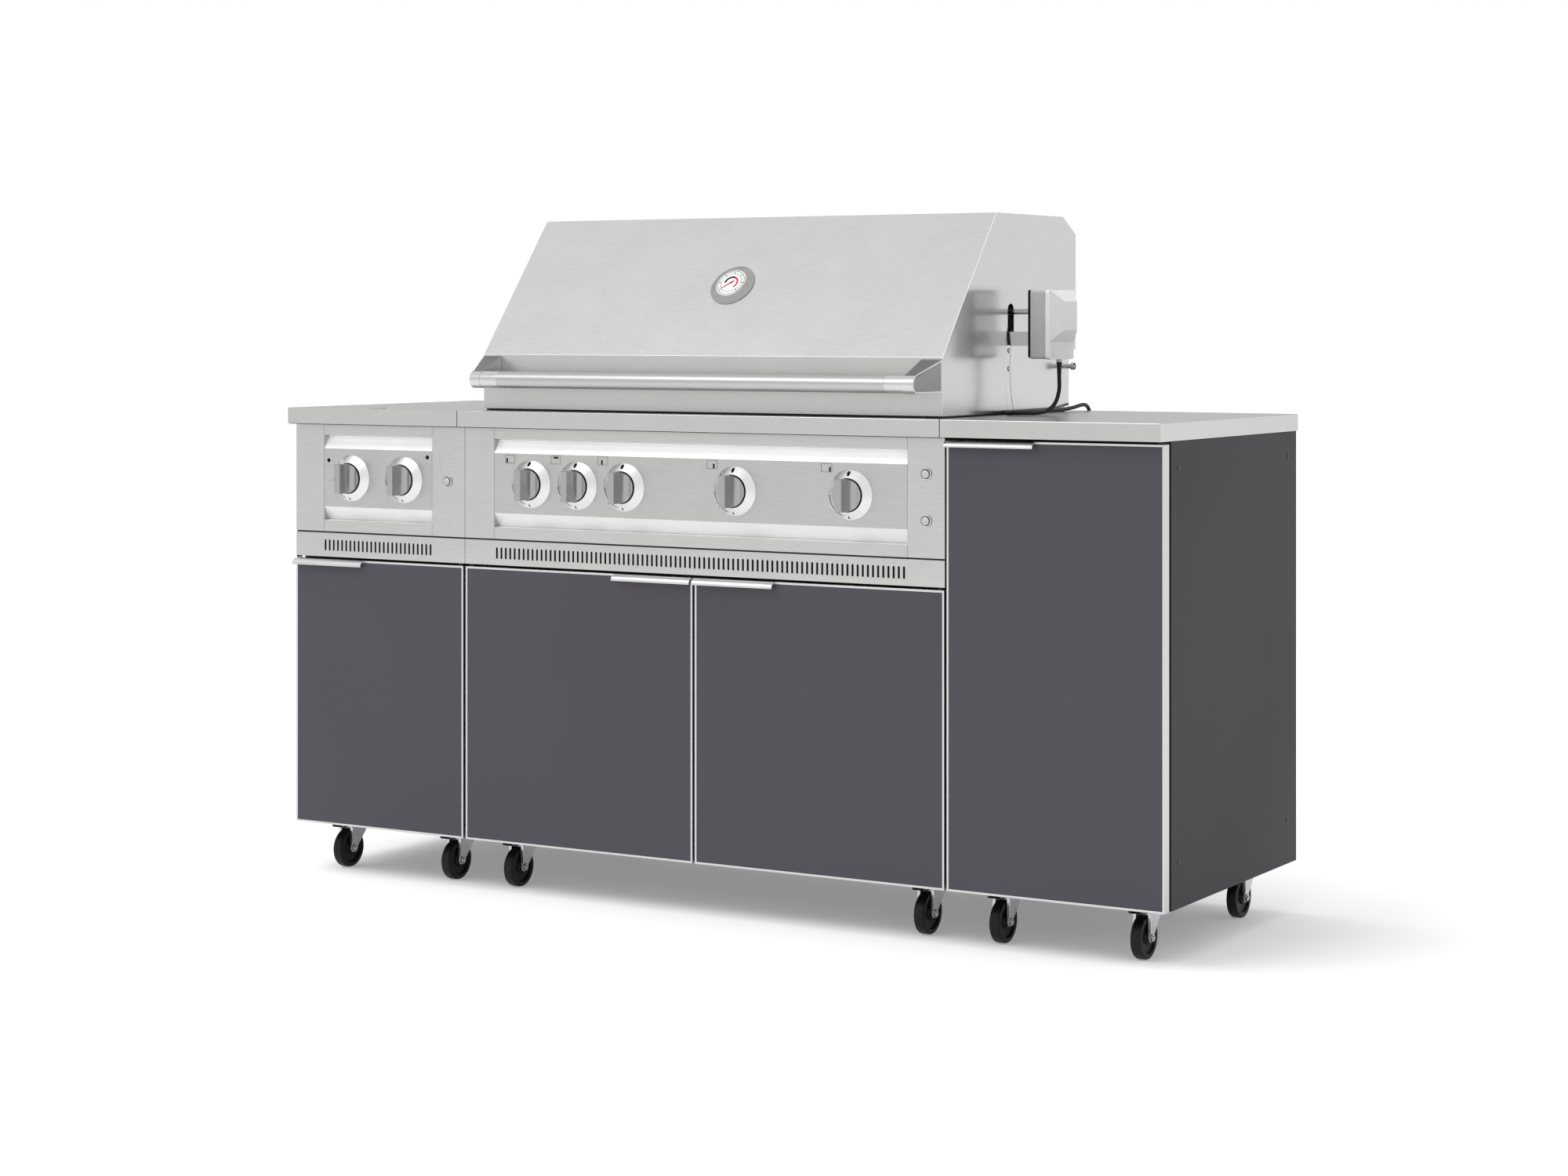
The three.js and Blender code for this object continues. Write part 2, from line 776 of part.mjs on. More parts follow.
function controlPanel(start, end, section_start, section_end, own_knobs, own_buttons) {
  const depth = [fascia_front, fascia_back];
  const height = [control_bottom, carcass_top];
  const strips = [
    tray([start, section_start + sheet / 2], depth, height, "back"),
    tray([section_end - sheet / 2, end], depth, height, "back"),
  ];
  const cuts = [];
  for (const x of [section_start, section_end]) {
    const half = section_seam_width / 2;
    cuts.push(block([x - half, x + half], [0, fascia_front + section_seam_depth], height));
  }
  for (const { x, z } of own_buttons) {
    const place = [x, fascia_front, z];
    cuts.push(rod(button_bore, small_sides, place, forward, -sheet - cut_overrun, cut_overrun));
  }
  const skin = cut(union(fieldSheet(section_start, section_end), ...strips), ...cuts);
  return union(
    skin,
    ...own_knobs.flatMap(({ x }) => [bezel(x), valveStem(x)]),
    ...own_buttons.map(buttonRing),
  );
}

piece(
  "control_panel_left",
  controlPanel(
    left_panel_start_inset,
    side_module_width,
    left_section_start,
    left_section_end,
    knobs.slice(0, 2),
    buttons.slice(0, 1),
  ),
  materials.steel,
);
piece(
  "control_panel_center",
  controlPanel(
    grill_panel_start,
    grill_panel_end,
    grill_section_start,
    grill_section_end,
    knobs.slice(2),
    buttons.slice(1),
  ),
  materials.steel,
);

// Vent panels: a row of upright slots with round ends, as many as the section above holds
function ventPanel(start, end, section_start, section_end) {
  const count = Math.floor((section_end - section_start - slot_width) / slot_pitch) + 1;
  const middle = (section_start + section_end) / 2;
  const half_run = (slot_height - slot_width) / 2;
  const slot_z = (vent_bottom + vent_top) / 2;
  const radius = slot_width / 2;
  const slots = [];
  for (let i = 0; i < count; i++) {
    const x = middle + (i - (count - 1) / 2) * slot_pitch;
    slots.push([
      ...arcPoints([x, slot_z + half_run], radius, 0, Math.PI, slot_end_steps),
      ...arcPoints([x, slot_z - half_run], radius, Math.PI, 2 * Math.PI, slot_end_steps),
    ]);
  }
  const face_y = [fascia_front, fascia_front + sheet];
  const face = alongY(rectangle([start, end], [vent_bottom, vent_top]), face_y, slots);
  const frame = tray([start, end], [fascia_front, fascia_back], [vent_bottom, vent_top], "back");
  const behind = block(
    [start + sheet, end - sheet],
    [fascia_front - cut_overrun, fascia_back],
    [vent_bottom + sheet, vent_top - sheet],
  );
  return union(cut(frame, behind), face);
}

piece(
  "vent_panel_left",
  ventPanel(left_panel_start_inset, side_module_width, left_section_start, left_section_end),
  materials.steel,
);
piece(
  "vent_panel_center",
  ventPanel(grill_panel_start, grill_panel_end, grill_section_start, grill_section_end),
  materials.steel,
);

// Knobs: a turned body scooped out on both sides of an upright grip
function knob(x) {
  const radius = knob_diameter / 2;
  const half_grip = knob_grip_width / 2;
  const envelope = turned(
    [
      [0, knob_back_gap],
      [radius, knob_back_gap],
      [radius, knob_height - knob_rim_round],
      [radius - knob_rim_round, knob_height],
      [0, knob_height],
    ],
    knob_sides,
    [x, fascia_front, knob_z],
    forward,
  );
  const scoop_depth = knob_height - knob_rim_height;
  const side_line = [
    [half_grip - knob_grip_round, knob_height],
    [half_grip, knob_height - knob_grip_round],
    ...knob_scoop_share.map(([along, up]) => [
      half_grip + (radius - half_grip) * (along - knob_scoop_share[0][0] / 2),
      knob_rim_height + scoop_depth * up,
    ]),
    [radius - knob_rim_round, knob_rim_height],
    [radius, knob_rim_height - knob_rim_round],
    [radius + cut_overrun, knob_rim_height - knob_rim_round],
    [radius + cut_overrun, 0],
  ];
  const outline = [...side_line, ...mirrorAcross(side_line, 0)];
  const section = alongZ(
    outline.map(([across, out]) => [x + across, fascia_front - out]),
    [knob_z - radius - cut_overrun, knob_z + radius + cut_overrun],
  );
  const bore = rod(
    stem_diameter + 2 * pin_clearance,
    small_sides,
    [x, fascia_front, knob_z],
    forward,
    -cut_overrun,
    stem_reach + seat_gap,
  );
  return cut(envelope.intersect(section), bore);
}

for (const { name, x } of knobs) piece(name, knob(x), materials.bright);

for (const { name, x, z } of buttons) {
  const from = button_proud - button_length;
  const button = rod(button_diameter, small_sides, [x, fascia_front, z], forward, from, button_proud);
  piece(name, button, materials.bright);
}

// Doors: a folded pan with a bright frame edge, pivots at the hinge end and a hooked pull at the free end
function door(details) {
  const { start, end, top, hinge_side } = details;
  const bottom = carcass_bottom;
  const x = pivotX(details);
  const edge = hinge_side > 0 ? end : start;
  const pan = block([start, end], [door_front, door_back], [bottom, top]);
  const hollow = block(
    [start + sheet, end - sheet],
    [door_front + sheet, door_back - sheet],
    [bottom + sheet, top - sheet],
  );
  const back_window = block(
    [start + door_return_width, end - door_return_width],
    [door_back - sheet - cut_overrun, door_back + cut_overrun],
    [bottom + door_return_width, top - door_return_width],
  );
  const face = block(
    [start + door_frame_width, end - door_frame_width],
    [door_front - cut_overrun, door_front + door_face_step],
    [bottom + door_frame_width, top - door_frame_width],
  );
  const lug_bottom = bottom + pivot_tongue_thickness + seat_gap;
  const sorted = (a, b) => [Math.min(a, b), Math.max(a, b)];
  const notch_depth = door_thickness / 2 - sheet + seat_gap;
  const notch = block(
    sorted(x - hinge_side * notch_depth, edge + hinge_side * cut_overrun),
    [door_front + sheet, door_back + cut_overrun],
    [bottom - cut_overrun, lug_bottom],
  );
  const lug = block(
    sorted(x - hinge_side * (notch_depth + sheet), edge),
    [door_front + sheet / 2 + door_face_step / 2, door_back],
    [lug_bottom, lug_bottom + pivot_lug_thickness],
  );
  const bore = rod(
    pivot_pin_diameter + 2 * pin_clearance,
    small_sides,
    [x, door_pivot_y, 0],
    z_axis,
    lug_bottom - cut_overrun,
    top + cut_overrun,
  );
  const pull_front = door_front - pull_reach;
  const bend = [pull_front + pull_radius, top - pull_radius];
  const pull_line = [
    [door_front + sheet, top],
    ...arcPoints(bend, pull_radius, Math.PI / 2, Math.PI, bend_steps),
  ];
  const pull_span = hinge_side > 0 ? [start, start + pull_length] : [end - pull_length, end];
  const pull = alongX(foldedSheet(pull_line), pull_span);
  return cut(union(cut(pan, hollow, back_window, face, notch), lug, pull), bore);
}

for (const details of doors) piece(details.name, door(details), materials.paint);

// Hood: one folded shell between two side plates. The slot in each plate lets the spit and the motor's arm
// through. Under them both its walls follow the arcs that they draw as the hood turns on its hinge bolts.
const hood_line = [
  [hood_front, hood_bottom],
  [hood_front, hood_skirt_top],
  [hood_slope_end, hood_top],
  [hood_top_end, hood_top],
  [hood_rear, hood_rear_top],
  [hood_rear, hood_notch_z],
];

const hinge_point = [hood_hinge_y, hinge_z];
const spit_radius = Math.hypot(spit_y - hood_hinge_y, spit_z - hinge_z);
const slot_sweep = spit_radius + spit_diameter / 2 + spit_sweep_clearance;

// Points on an arc about the hinge, in front of it, from one height to another
function hingeArc(radius, from_z, to_z, steps) {
  const angle = (z) => Math.PI - Math.asin((z - hinge_z) / radius);
  return arcPoints(hinge_point, radius, angle(from_z), angle(to_z), steps);
}

function spitSlot() {
  const top_radius = spit_slot_width / 2;
  const slot_rear = spit_slot_front + spit_slot_width;
  const top_z = counter_height + spit_slot_top_rise;
  const below = hood_bottom - cut_overrun;
  const step_z = top_z - spit_slot_upper_drop;
  const meet_z = hinge_z + Math.sqrt(slot_sweep ** 2 - (hood_hinge_y - spit_slot_front) ** 2);
  return [
    [slot_rear, step_z],
    ...arcPoints([spit_slot_front + top_radius, top_z - top_radius], top_radius, 0, Math.PI, arch_steps),
    ...hingeArc(slot_sweep, meet_z, below, arch_steps),
    ...hingeArc(slot_sweep - spit_slot_band, below, step_z, arch_steps),
  ];
}

// The cover that fills the slot under the motor's arm, flush with the hood's sides and fixed to the firebox
function slotCover(span) {
  const bottom = hood_bottom + slot_cover_floor_gap;
  const top = counter_height + motor_arm_bottom_rise + sheet / 2;
  return alongX(
    [
      ...hingeArc(slot_sweep - slot_cover_gap, top, bottom, arch_steps),
      ...hingeArc(slot_sweep - spit_slot_band + slot_cover_gap, bottom, top, arch_steps),
    ],
    span,
  );
}

function hood() {
  const across = [hood_left, hood_right];
  const side_outline = [
    ...hood_line,
    [hood_notch_y, hood_notch_z],
    [hood_notch_y, counter_height + hood_rear_lift],
  ];
  const inner_line = offsetLine(hood_line, -sheet);
  const first = inner_line[0];
  const last = inner_line[inner_line.length - 1];
  const hollow = [
    [first[0], first[1] - cut_overrun],
    ...inner_line.slice(1, -1),
    [last[0], hood_bottom - cut_overrun],
  ];
  const span = [hood_left + sheet, hood_right - sheet];
  const lip_y = [hood_front + sheet / 2, hood_front + hood_lip_width];
  const lip = block(span, lip_y, [hood_bottom, hood_bottom + sheet]);
  const feet = [hood_left + hood_foot_inset, hood_right - hood_foot_inset].map((x) =>
    block(
      [x - hood_foot_width / 2, x + hood_foot_width / 2],
      lip_y,
      [counter_height + seat_gap, hood_bottom + sheet / 2],
    ),
  );
  const through = [hood_left - cut_overrun, hood_right + cut_overrun];
  const hinge_hole = rod(
    hinge_bolt_diameter + 2 * pin_clearance,
    small_sides,
    [0, hood_hinge_y, hinge_z],
    x_axis,
    ...through,
  );
  const probe_bore = probe_diameter + 2 * pin_clearance;
  const probe_hole = rod(probe_bore, small_sides, gaugePlace(), gaugeAim(), -probe_length, probe_length);
  const shell = cut(alongX(side_outline, across), alongX(hollow, span));
  return cut(union(shell, lip, ...feet), alongX(spitSlot(), through), hinge_hole, probe_hole);
}

// Thermometer: a coned bezel round a sunk dial, with its probe through the hood's slope
function gaugeAim() {
  const length = Math.hypot(hood_slope_run, hood_slope_rise);
  return new THREE.Vector3(0, -hood_slope_rise / length, hood_slope_run / length);
}

function gaugePlace() {
  const place = new THREE.Vector3(
    grill_center,
    hood_front + hood_slope_run * gauge_slope_share,
    hood_skirt_top + hood_slope_rise * gauge_slope_share,
  );
  return place.addScaledVector(gaugeAim(), seat_gap).toArray();
}

function thermometer() {
  const outer = gauge_diameter / 2;
  const dial = gauge_dial_diameter / 2;
  const profile = [
    [0, -probe_length],
    [probe_diameter / 2, -probe_length],
    [probe_diameter / 2, 0],
    [outer, 0],
    [outer, gauge_edge_height],
    [dial + gauge_rim_width, gauge_height],
    [dial, gauge_height],
    [dial, gauge_height - gauge_recess],
    [0, gauge_height - gauge_recess],
  ];
  return turned(profile, fine_sides, gaugePlace(), gaugeAim());
}

piece("hood", hood(), materials.steel);
piece("thermometer", thermometer(), materials.dial);

// Hood handle: a tube between two wedge brackets with rounded noses
function bracketOutline() {
  const nose = [handle_axis_y, handle_z];
  const back = hood_front - seat_gap;
  const top = [back, hood_skirt_top - bracket_top_drop];
  const bottom = [back, hood_bottom + bracket_bottom_rise];
  const tangent = ([u, v], side) => {
    const distance = Math.hypot(u - nose[0], v - nose[1]);
    return Math.atan2(v - nose[1], u - nose[0]) + side * Math.acos(handle_nose_radius / distance);
  };
  const to = 2 * Math.PI + tangent(bottom, -1);
  return [bottom, top, ...arcPoints(nose, handle_nose_radius, tangent(top, 1), to, nose_steps)];
}

function handle() {
  const nose_front = handle_axis_y - handle_nose_radius - cut_overrun;
  const side = bracketOutline();
  const left_plan = [
    [hood_left, hood_front],
    [hood_left + bracket_taper, handle_axis_y],
    [hood_left + bracket_taper, nose_front],
    [hood_left + bracket_width, nose_front],
    [hood_left + bracket_width, hood_front],
  ];
  const heights = [hood_bottom, hood_skirt_top];
  const middle = (hood_left + hood_right) / 2;
  const brackets = [left_plan, mirrorAcross(left_plan, middle)].map((plan) => {
    const reach = [Math.min(...plan.map(([x]) => x)), Math.max(...plan.map(([x]) => x))];
    return alongX(side, reach).intersect(alongZ(plan, heights));
  });
  const tube = rod(
    handle_tube_diameter,
    knob_sides,
    [0, handle_axis_y, handle_z],
    x_axis,
    hood_left + bracket_width - handle_cap_length,
    hood_right - bracket_width + handle_cap_length,
  );
  return union(...brackets, tube);
}

piece("hood_handle", handle(), materials.bright);

// Firebox: a tub in the worktop's cut-out, with side walls that carry the spit posts and the hinge bolts
function firebox() {
  const tub = tray([tub_left, tub_right], [firebox_front, firebox_rear], [tub_bottom, flange_top], "top");
  const flange_y = [firebox_front - firebox_flange_width, firebox_rear + firebox_flange_width];
  const flange = cut(
    block([firebox_left, firebox_right], flange_y, [flange_bottom, flange_top]),
    block(
      [tub_left + sheet, tub_right - sheet],
      [firebox_front + sheet, firebox_rear - sheet],
      [flange_bottom - cut_overrun, flange_top + cut_overrun],
    ),
  );
  const wall_top = counter_height + firebox_wall_rise;
  const arm_bottom = counter_height + motor_arm_bottom_rise;
  const arm_top = arm_bottom + motor_arm_height;
  const sideWall = (post_top) => [
    [flange_y[0], flange_bottom],
    [flange_y[1], flange_bottom],
    [flange_y[1], counter_height + hinge_ear_rise],
    [hood_hinge_y - hinge_ear_half_width, counter_height + hinge_ear_rise],
    [hood_hinge_y - 2 * hinge_ear_half_width, wall_top],
    [spit_y + spit_post_half_width, wall_top],
    [spit_y + spit_post_half_width, post_top],
    [spit_y - spit_post_half_width, post_top],
    [spit_y - spit_post_half_width, wall_top],
    [flange_y[0], wall_top],
  ];
  const rest = spit_diameter / 2 + pin_clearance;
  const notch = block(
    [firebox_left - cut_overrun, firebox_left + sheet + cut_overrun],
    [spit_y - rest, spit_y + rest],
    [spit_z - rest, spit_z + 2 * rest],
  );
  const left_wall = cut(alongX(sideWall(spit_z + rest), [firebox_left, firebox_left + sheet]), notch);
  const right_wall = alongX(sideWall(arm_top), [firebox_right - sheet, firebox_right]);
  const rear_wall = block(
    [firebox_left, firebox_right],
    [flange_y[1] - sheet, flange_y[1]],
    [flange_bottom, counter_height + firebox_rear_wall_rise],
  );
  const arm = block(
    [firebox_right - sheet, motor_face - seat_gap],
    [motor_arm_y - motor_arm_thickness / 2, motor_arm_y + motor_arm_thickness / 2],
    [arm_bottom, arm_top],
  );
  const bolts = [
    [firebox_right - sheet, new THREE.Vector3(1, 0, 0), hood_right - firebox_right + sheet],
    [firebox_left + sheet, new THREE.Vector3(-1, 0, 0), firebox_left + sheet - hood_left],
  ].flatMap(([x, direction, to_face]) => {
    const tip = to_face + hinge_bolt_reach;
    const place = [x, hood_hinge_y, hinge_z];
    return [
      rod(hinge_bolt_diameter, small_sides, place, direction, 0, tip),
      rod(hinge_head_diameter, small_sides, place, direction, tip - hinge_head_length, tip),
    ];
  });
  const ledges = [];
  const grate_bottom = counter_height - grate_drop - grate_thickness;
  const burner_bottom = tub_bottom + burner_ledge_height;
  for (const seat of [grate_bottom - seat_gap, burner_bottom - seat_gap]) {
    for (const [from, to] of [
      [firebox_front + sheet / 2, firebox_front + ledge_width],
      [firebox_rear - ledge_width, firebox_rear - sheet / 2],
    ]) {
      ledges.push(block([tub_left + sheet / 2, tub_right - sheet / 2], [from, to], [seat - sheet, seat]));
    }
  }
  const rear_burner = block(
    [firebox_left + rear_burner_inset, firebox_right - rear_burner_inset],
    [flange_y[1] - sheet / 2 - rear_burner_depth, flange_y[1] - sheet / 2],
    [counter_height + rear_burner_rise, counter_height + rear_burner_rise + rear_burner_height],
  );
  const half_drain = drain_size / 2;
  const middle_y = (firebox_front + firebox_rear) / 2;
  const drain = block(
    [grill_center - half_drain, grill_center + half_drain],
    [middle_y - half_drain, middle_y + half_drain],
    [tub_bottom - cut_overrun, tub_bottom + cut_overrun],
  );
  const covers = [
    slotCover([hood_left + seat_gap, firebox_left + sheet / 2]),
    slotCover([firebox_right - sheet / 2, hood_right - seat_gap]),
  ];
  const walls = [left_wall, right_wall, rear_wall];
  return cut(union(tub, flange, ...walls, ...covers, arm, ...bolts, ...ledges, rear_burner), drain);
}

piece("firebox", firebox(), materials.iron);

// Cooking grate: one plate of bars along Y
function cookingGrate() {
  const x = [tub_left + sheet + grate_play, tub_right - sheet - grate_play];
  const y = [firebox_front + sheet + grate_play, firebox_rear - sheet - grate_play];
  const room = x[1] - x[0] - 2 * grate_frame_width + grate_bar_width;
  const pitch = grate_bar_width + grate_slot_width;
  const count = Math.floor(room / pitch);
  const first = (x[0] + x[1] - count * pitch + grate_bar_width) / 2;
  const top = counter_height - grate_drop;
  const slots = [];
  for (let i = 0; i < count; i++) {
    const from = first + i * pitch;
    slots.push(
      block(
        [from, from + grate_slot_width],
        [y[0] + grate_frame_width, y[1] - grate_frame_width],
        [top - grate_thickness - cut_overrun, top + cut_overrun],
      ),
    );
  }
  return cut(block(x, y, [top - grate_thickness, top]), ...slots);
}

piece("cooking_grate", cookingGrate(), materials.iron);

// Burners: roof-topped burner bars joined by one carry-over bar at the rear
function burners() {
  const bottom = tub_bottom + burner_ledge_height;
  const span = [tub_left + sheet, tub_right - sheet];
  const pitch = (span[1] - span[0]) / burner_count;
  const y = [firebox_front + burner_end_gap, firebox_rear - burner_end_gap];
  const bars = [];
  for (let i = 0; i < burner_count; i++) {
    const x = span[0] + (i + 1 / 2) * pitch;
    const half = burner_width / 2;
    const outline = [
      [x - half, bottom],
      [x + half, bottom],
      [x + half, bottom + burner_side_height],
      [x, bottom + burner_side_height + burner_crest_height],
      [x - half, bottom + burner_side_height],
    ];
    bars.push(alongY(outline, y));
  }
  const link = block(
    [span[0] + pitch / 2, span[1] - pitch / 2],
    [y[1] - burner_end_gap - burner_bar_width, y[1] - burner_end_gap],
    [bottom, bottom + burner_side_height],
  );
  return union(...bars, link);
}

piece("burners", burners(), materials.iron);

// Spit with two pronged forks
function spit() {
  const from = hood_left - spit_left_overhang;
  const to = motor_face + spit_socket_depth - seat_gap;
  const place = [0, spit_y, spit_z];
  const shaft = rod(spit_diameter, small_sides, place, x_axis, from, to);
  const forks = [
    [hood_left + spit_fork_inset, 1],
    [hood_right - spit_fork_inset, -1],
  ].flatMap(([x, inward]) => {
    const half = spit_fork_hub_length / 2;
    const thick = spit_fork_prong_thickness / 2;
    const spread = spit_fork_spread / 2;
    const tip = x + inward * spit_fork_prong_length;
    const reach = [Math.min(x, tip), Math.max(x, tip)];
    const prong_z = [spit_z - thick, spit_z + thick];
    const prong = (y) => block(reach, [y - thick, y + thick], prong_z);
    return [
      rod(spit_fork_hub_diameter, small_sides, place, x_axis, x - half, x + half),
      block([x - thick, x + thick], [spit_y - spread - thick, spit_y + spread + thick], prong_z),
      prong(spit_y - spread),
      prong(spit_y + spread),
    ];
  });
  return union(shaft, ...forks);
}

piece("spit_rod", spit(), materials.bright);

// Rotisserie motor: gasket plate, housing, cover with a raised pad, and the cord's gland
const gland_x = hood_right + gland_x_offset;
const gland_bottom = motor_bottom - gland_length;

function motor() {
  const body_start = motor_face + motor_gasket_thickness;
  const body_end = body_start + motor_body_depth;
  const cover_end = body_end + motor_cover_depth;
  const pad_end = cover_end + motor_pad_depth;
  const cover_y = [motor_front - motor_cover_overhang, motor_rear + motor_cover_overhang];
  const pad_low = motor_bottom + motor_block_height;
  const gasket_y = [motor_front - sheet / 2, motor_rear + sheet / 2];
  const gasket = block([motor_face, body_start], gasket_y, [motor_bottom + sheet, motor_top]);
  const body = block([body_start, body_end], [motor_front, motor_rear], [motor_bottom, motor_top]);
  const cover = block([body_end, cover_end], cover_y, [motor_bottom - sheet / 2, motor_top]);
  const pad_base = rectangle(cover_y, [pad_low, motor_top]);
  const pad_face = rectangle(
    [cover_y[0] + motor_pad_side_inset, cover_y[1] - motor_pad_side_inset],
    [pad_low + motor_pad_end_inset, motor_top - motor_pad_end_inset],
  );
  const corners = (at, outline) => outline.map(([y, z]) => new THREE.Vector3(at, y, z));
  const pad_points = [
    ...corners(cover_end - sheet / 2, pad_base),
    ...corners(cover_end, pad_base),
    ...corners(pad_end, pad_face),
  ];
  const pad = solidOf(new ConvexGeometry(pad_points));
  const gland_place = [gland_x, gland_y, motor_bottom];
  const gland = rod(gland_diameter, small_sides, gland_place, z_axis, -gland_length, sheet);
  const socket = rod(
    spit_diameter + 2 * pin_clearance,
    small_sides,
    [motor_face, spit_y, spit_z],
    x_axis,
    -cut_overrun,
    spit_socket_depth,
  );
  return cut(union(gasket, body, cover, pad, gland), socket);
}

piece("rotisserie_motor", motor(), materials.plastic);

// Side burner: a pan on the worktop's ledge, with a burner and bars for a pot
function sideBurner() {
  const bottom = ledge_top + seat_gap;
  const flange_top_z = bottom + sheet;
  const flange_x = [lid_left + sheet + pan_flange_gap, lid_right - sheet - pan_flange_gap];
  const flange_y = [lid_margin + sheet + pan_flange_gap, lid_hinge_y - 2 * lid_skirt_end_gap];
  const well_x = [pan_well_side_inset, side_module_width - pan_well_side_inset];
  const well_y = [pan_well_front_inset, worktop_depth - pan_well_rear_inset];
  const flange = cut(
    block(flange_x, flange_y, [bottom, flange_top_z]),
    block(
      [well_x[0] + sheet, well_x[1] - sheet],
      [well_y[0] + sheet, well_y[1] - sheet],
      [bottom - cut_overrun, flange_top_z + cut_overrun],
    ),
  );
  const well = tray(well_x, well_y, [bottom - pan_depth, flange_top_z], "top");
  const middle = [(well_x[0] + well_x[1]) / 2, (well_y[0] + well_y[1]) / 2];
  const burner = rod(
    pan_burner_diameter,
    knob_sides,
    [...middle, bottom - pan_depth],
    z_axis,
    sheet / 2,
    pan_burner_height,
  );
  const bar_z = [flange_top_z - pot_bar_height + sheet, flange_top_z + sheet];
  const half = pot_bar_width / 2;
  const bars = [-1, 1].flatMap((side) => {
    const x = middle[0] + side * pot_bar_spread;
    const y = middle[1] + side * pot_bar_spread;
    return [
      block([x - half, x + half], [well_y[0] + sheet / 2, well_y[1] - sheet / 2], bar_z),
      block([well_x[0] + sheet / 2, well_x[1] - sheet / 2], [y - half, y + half], bar_z),
    ];
  });
  return union(flange, well, burner, ...bars);
}

piece("side_burner", sideBurner(), materials.iron);

function sideBurnerLid() {
  const x = [lid_left, lid_right];
  const bottom = ledge_top + seat_gap;
  const skirt_end = lid_hinge_y - lid_skirt_end_gap;
  const shell = tray(x, [lid_margin, lid_rear], [bottom, counter_height], "bottom");
  const rear_cut = block(
    [x[0] - cut_overrun, x[1] + cut_overrun],
    [skirt_end, lid_rear + cut_overrun],
    [bottom - cut_overrun, counter_height - sheet],
  );
  const lug_y = [lid_hinge_y - lid_lug_half_width, lid_hinge_y + lid_lug_half_width];
  const lug_z = [lid_hinge_z - lid_lug_half_width, counter_height - sheet / 2];
  const place = [0, lid_hinge_y, lid_hinge_z];
  const pin_reach = lid_gap + sheet;
  const ears = [
    block([x[0], x[0] + 2 * sheet], lug_y, lug_z),
    block([x[1] - 2 * sheet, x[1]], lug_y, lug_z),
    rod(lid_pin_diameter, pin_sides, place, x_axis, x[0] - pin_reach, x[0] + sheet),
    rod(lid_pin_diameter, pin_sides, place, x_axis, x[1] - sheet, x[1] + pin_reach),
  ];
  const middle = (x[0] + x[1]) / 2;
  const pull = block(
    [middle - lid_pull_width / 2, middle + lid_pull_width / 2],
    [lid_margin + sheet, lid_margin + sheet + lid_pull_depth],
    [counter_height - sheet / 2, counter_height + lid_pull_height],
  );
  return union(cut(shell, rear_cut), ...ears, pull);
}

piece("side_burner_lid", sideBurnerLid(), materials.steel);

// Casters: a swivelling fork with the axle, and a wheel whose flats touch the true radius
function casterFork(with_pedal) {
  const inner = fork_inner_width / 2;
  const outer = inner + fork_thickness;
  const axle_y = -caster_trail;
  const front = axle_y - fork_tip_radius;
  const leg_top = crown_bottom + fork_thickness / 2;
  const tip_z = wheel_radius - fork_tip_radius;
  const side_outline = [
    [front, leg_top],
    [front, fork_flange_bottom],
    [axle_y - fork_tip_flat, tip_z],
    [axle_y + fork_tip_flat, tip_z],
    [fork_rear_reach, leg_top],
  ];
  const flange_reach = inner + fork_flange_width;
  const plan = [
    [inner, front],
    [flange_reach, front],
    [flange_reach, front + fork_thickness],
    [outer, front + fork_thickness],
    [outer, fork_rear_reach + cut_overrun],
    [inner, fork_rear_reach + cut_overrun],
  ];
  const cut_span = [-flange_reach - cut_overrun, flange_reach + cut_overrun];
  const legs = [plan, mirrorAcross(plan, 0)].map((outline) =>
    alongZ(outline, [tip_z - cut_overrun, leg_top + cut_overrun]).intersect(alongX(side_outline, cut_span)),
  );
  const crown = block(
    [-outer - fork_crown_overhang, outer + fork_crown_overhang],
    [front - fork_crown_overhang, fork_rear_reach + fork_crown_overhang],
    [crown_bottom, crown_bottom + fork_thickness],
  );
  const race = rod(
    swivel_race_diameter,
    race_sides,
    [0, 0, 0],
    z_axis,
    crown_bottom + fork_thickness / 2,
    caster_plate_bottom - seat_gap,
  );
  const axle_place = [0, axle_y, wheel_radius];
  const nut_end = outer + axle_nut_length;
  const leg_middle = outer - fork_thickness / 2;
  const axle = rod(axle_diameter, pin_sides, axle_place, x_axis, -leg_middle, leg_middle);
  const nuts = [
    rod(axle_nut_diameter, pin_sides, axle_place, x_axis, -nut_end, -leg_middle),
    rod(axle_nut_diameter, pin_sides, axle_place, x_axis, leg_middle, nut_end),
  ];
  const solids = [crown, ...legs, race, axle, ...nuts];
  if (with_pedal) {
    const pedal_top = caster_plate_bottom - pedal_drop;
    solids.push(
      block([-pedal_width / 2, pedal_width / 2], [-pedal_reach, 0], [pedal_top - pedal_thickness, pedal_top]),
    );
  }
  return union(...solids);
}

function casterWheel() {
  const half = wheel_width / 2;
  const web = wheel_web_width / 2;
  const flat_share = 1 / Math.cos(Math.PI / wheel_sides);
  const bore = axle_diameter / 2 + pin_clearance;
  const rim = wheel_rim_diameter / 2;
  const profile = [
    [bore, -half],
    [rim, -web],
    [rim, -half],
    [wheel_radius, -half + wheel_tread_round],
    [wheel_radius, half - wheel_tread_round],
    [rim, half],
    [rim, web],
    [bore, half],
    [bore, -half],
  ].map(([radius, height]) => [radius * flat_share, height]);
  return turned(profile, wheel_sides, [0, -caster_trail, wheel_radius], x_axis, Math.PI / wheel_sides);
}

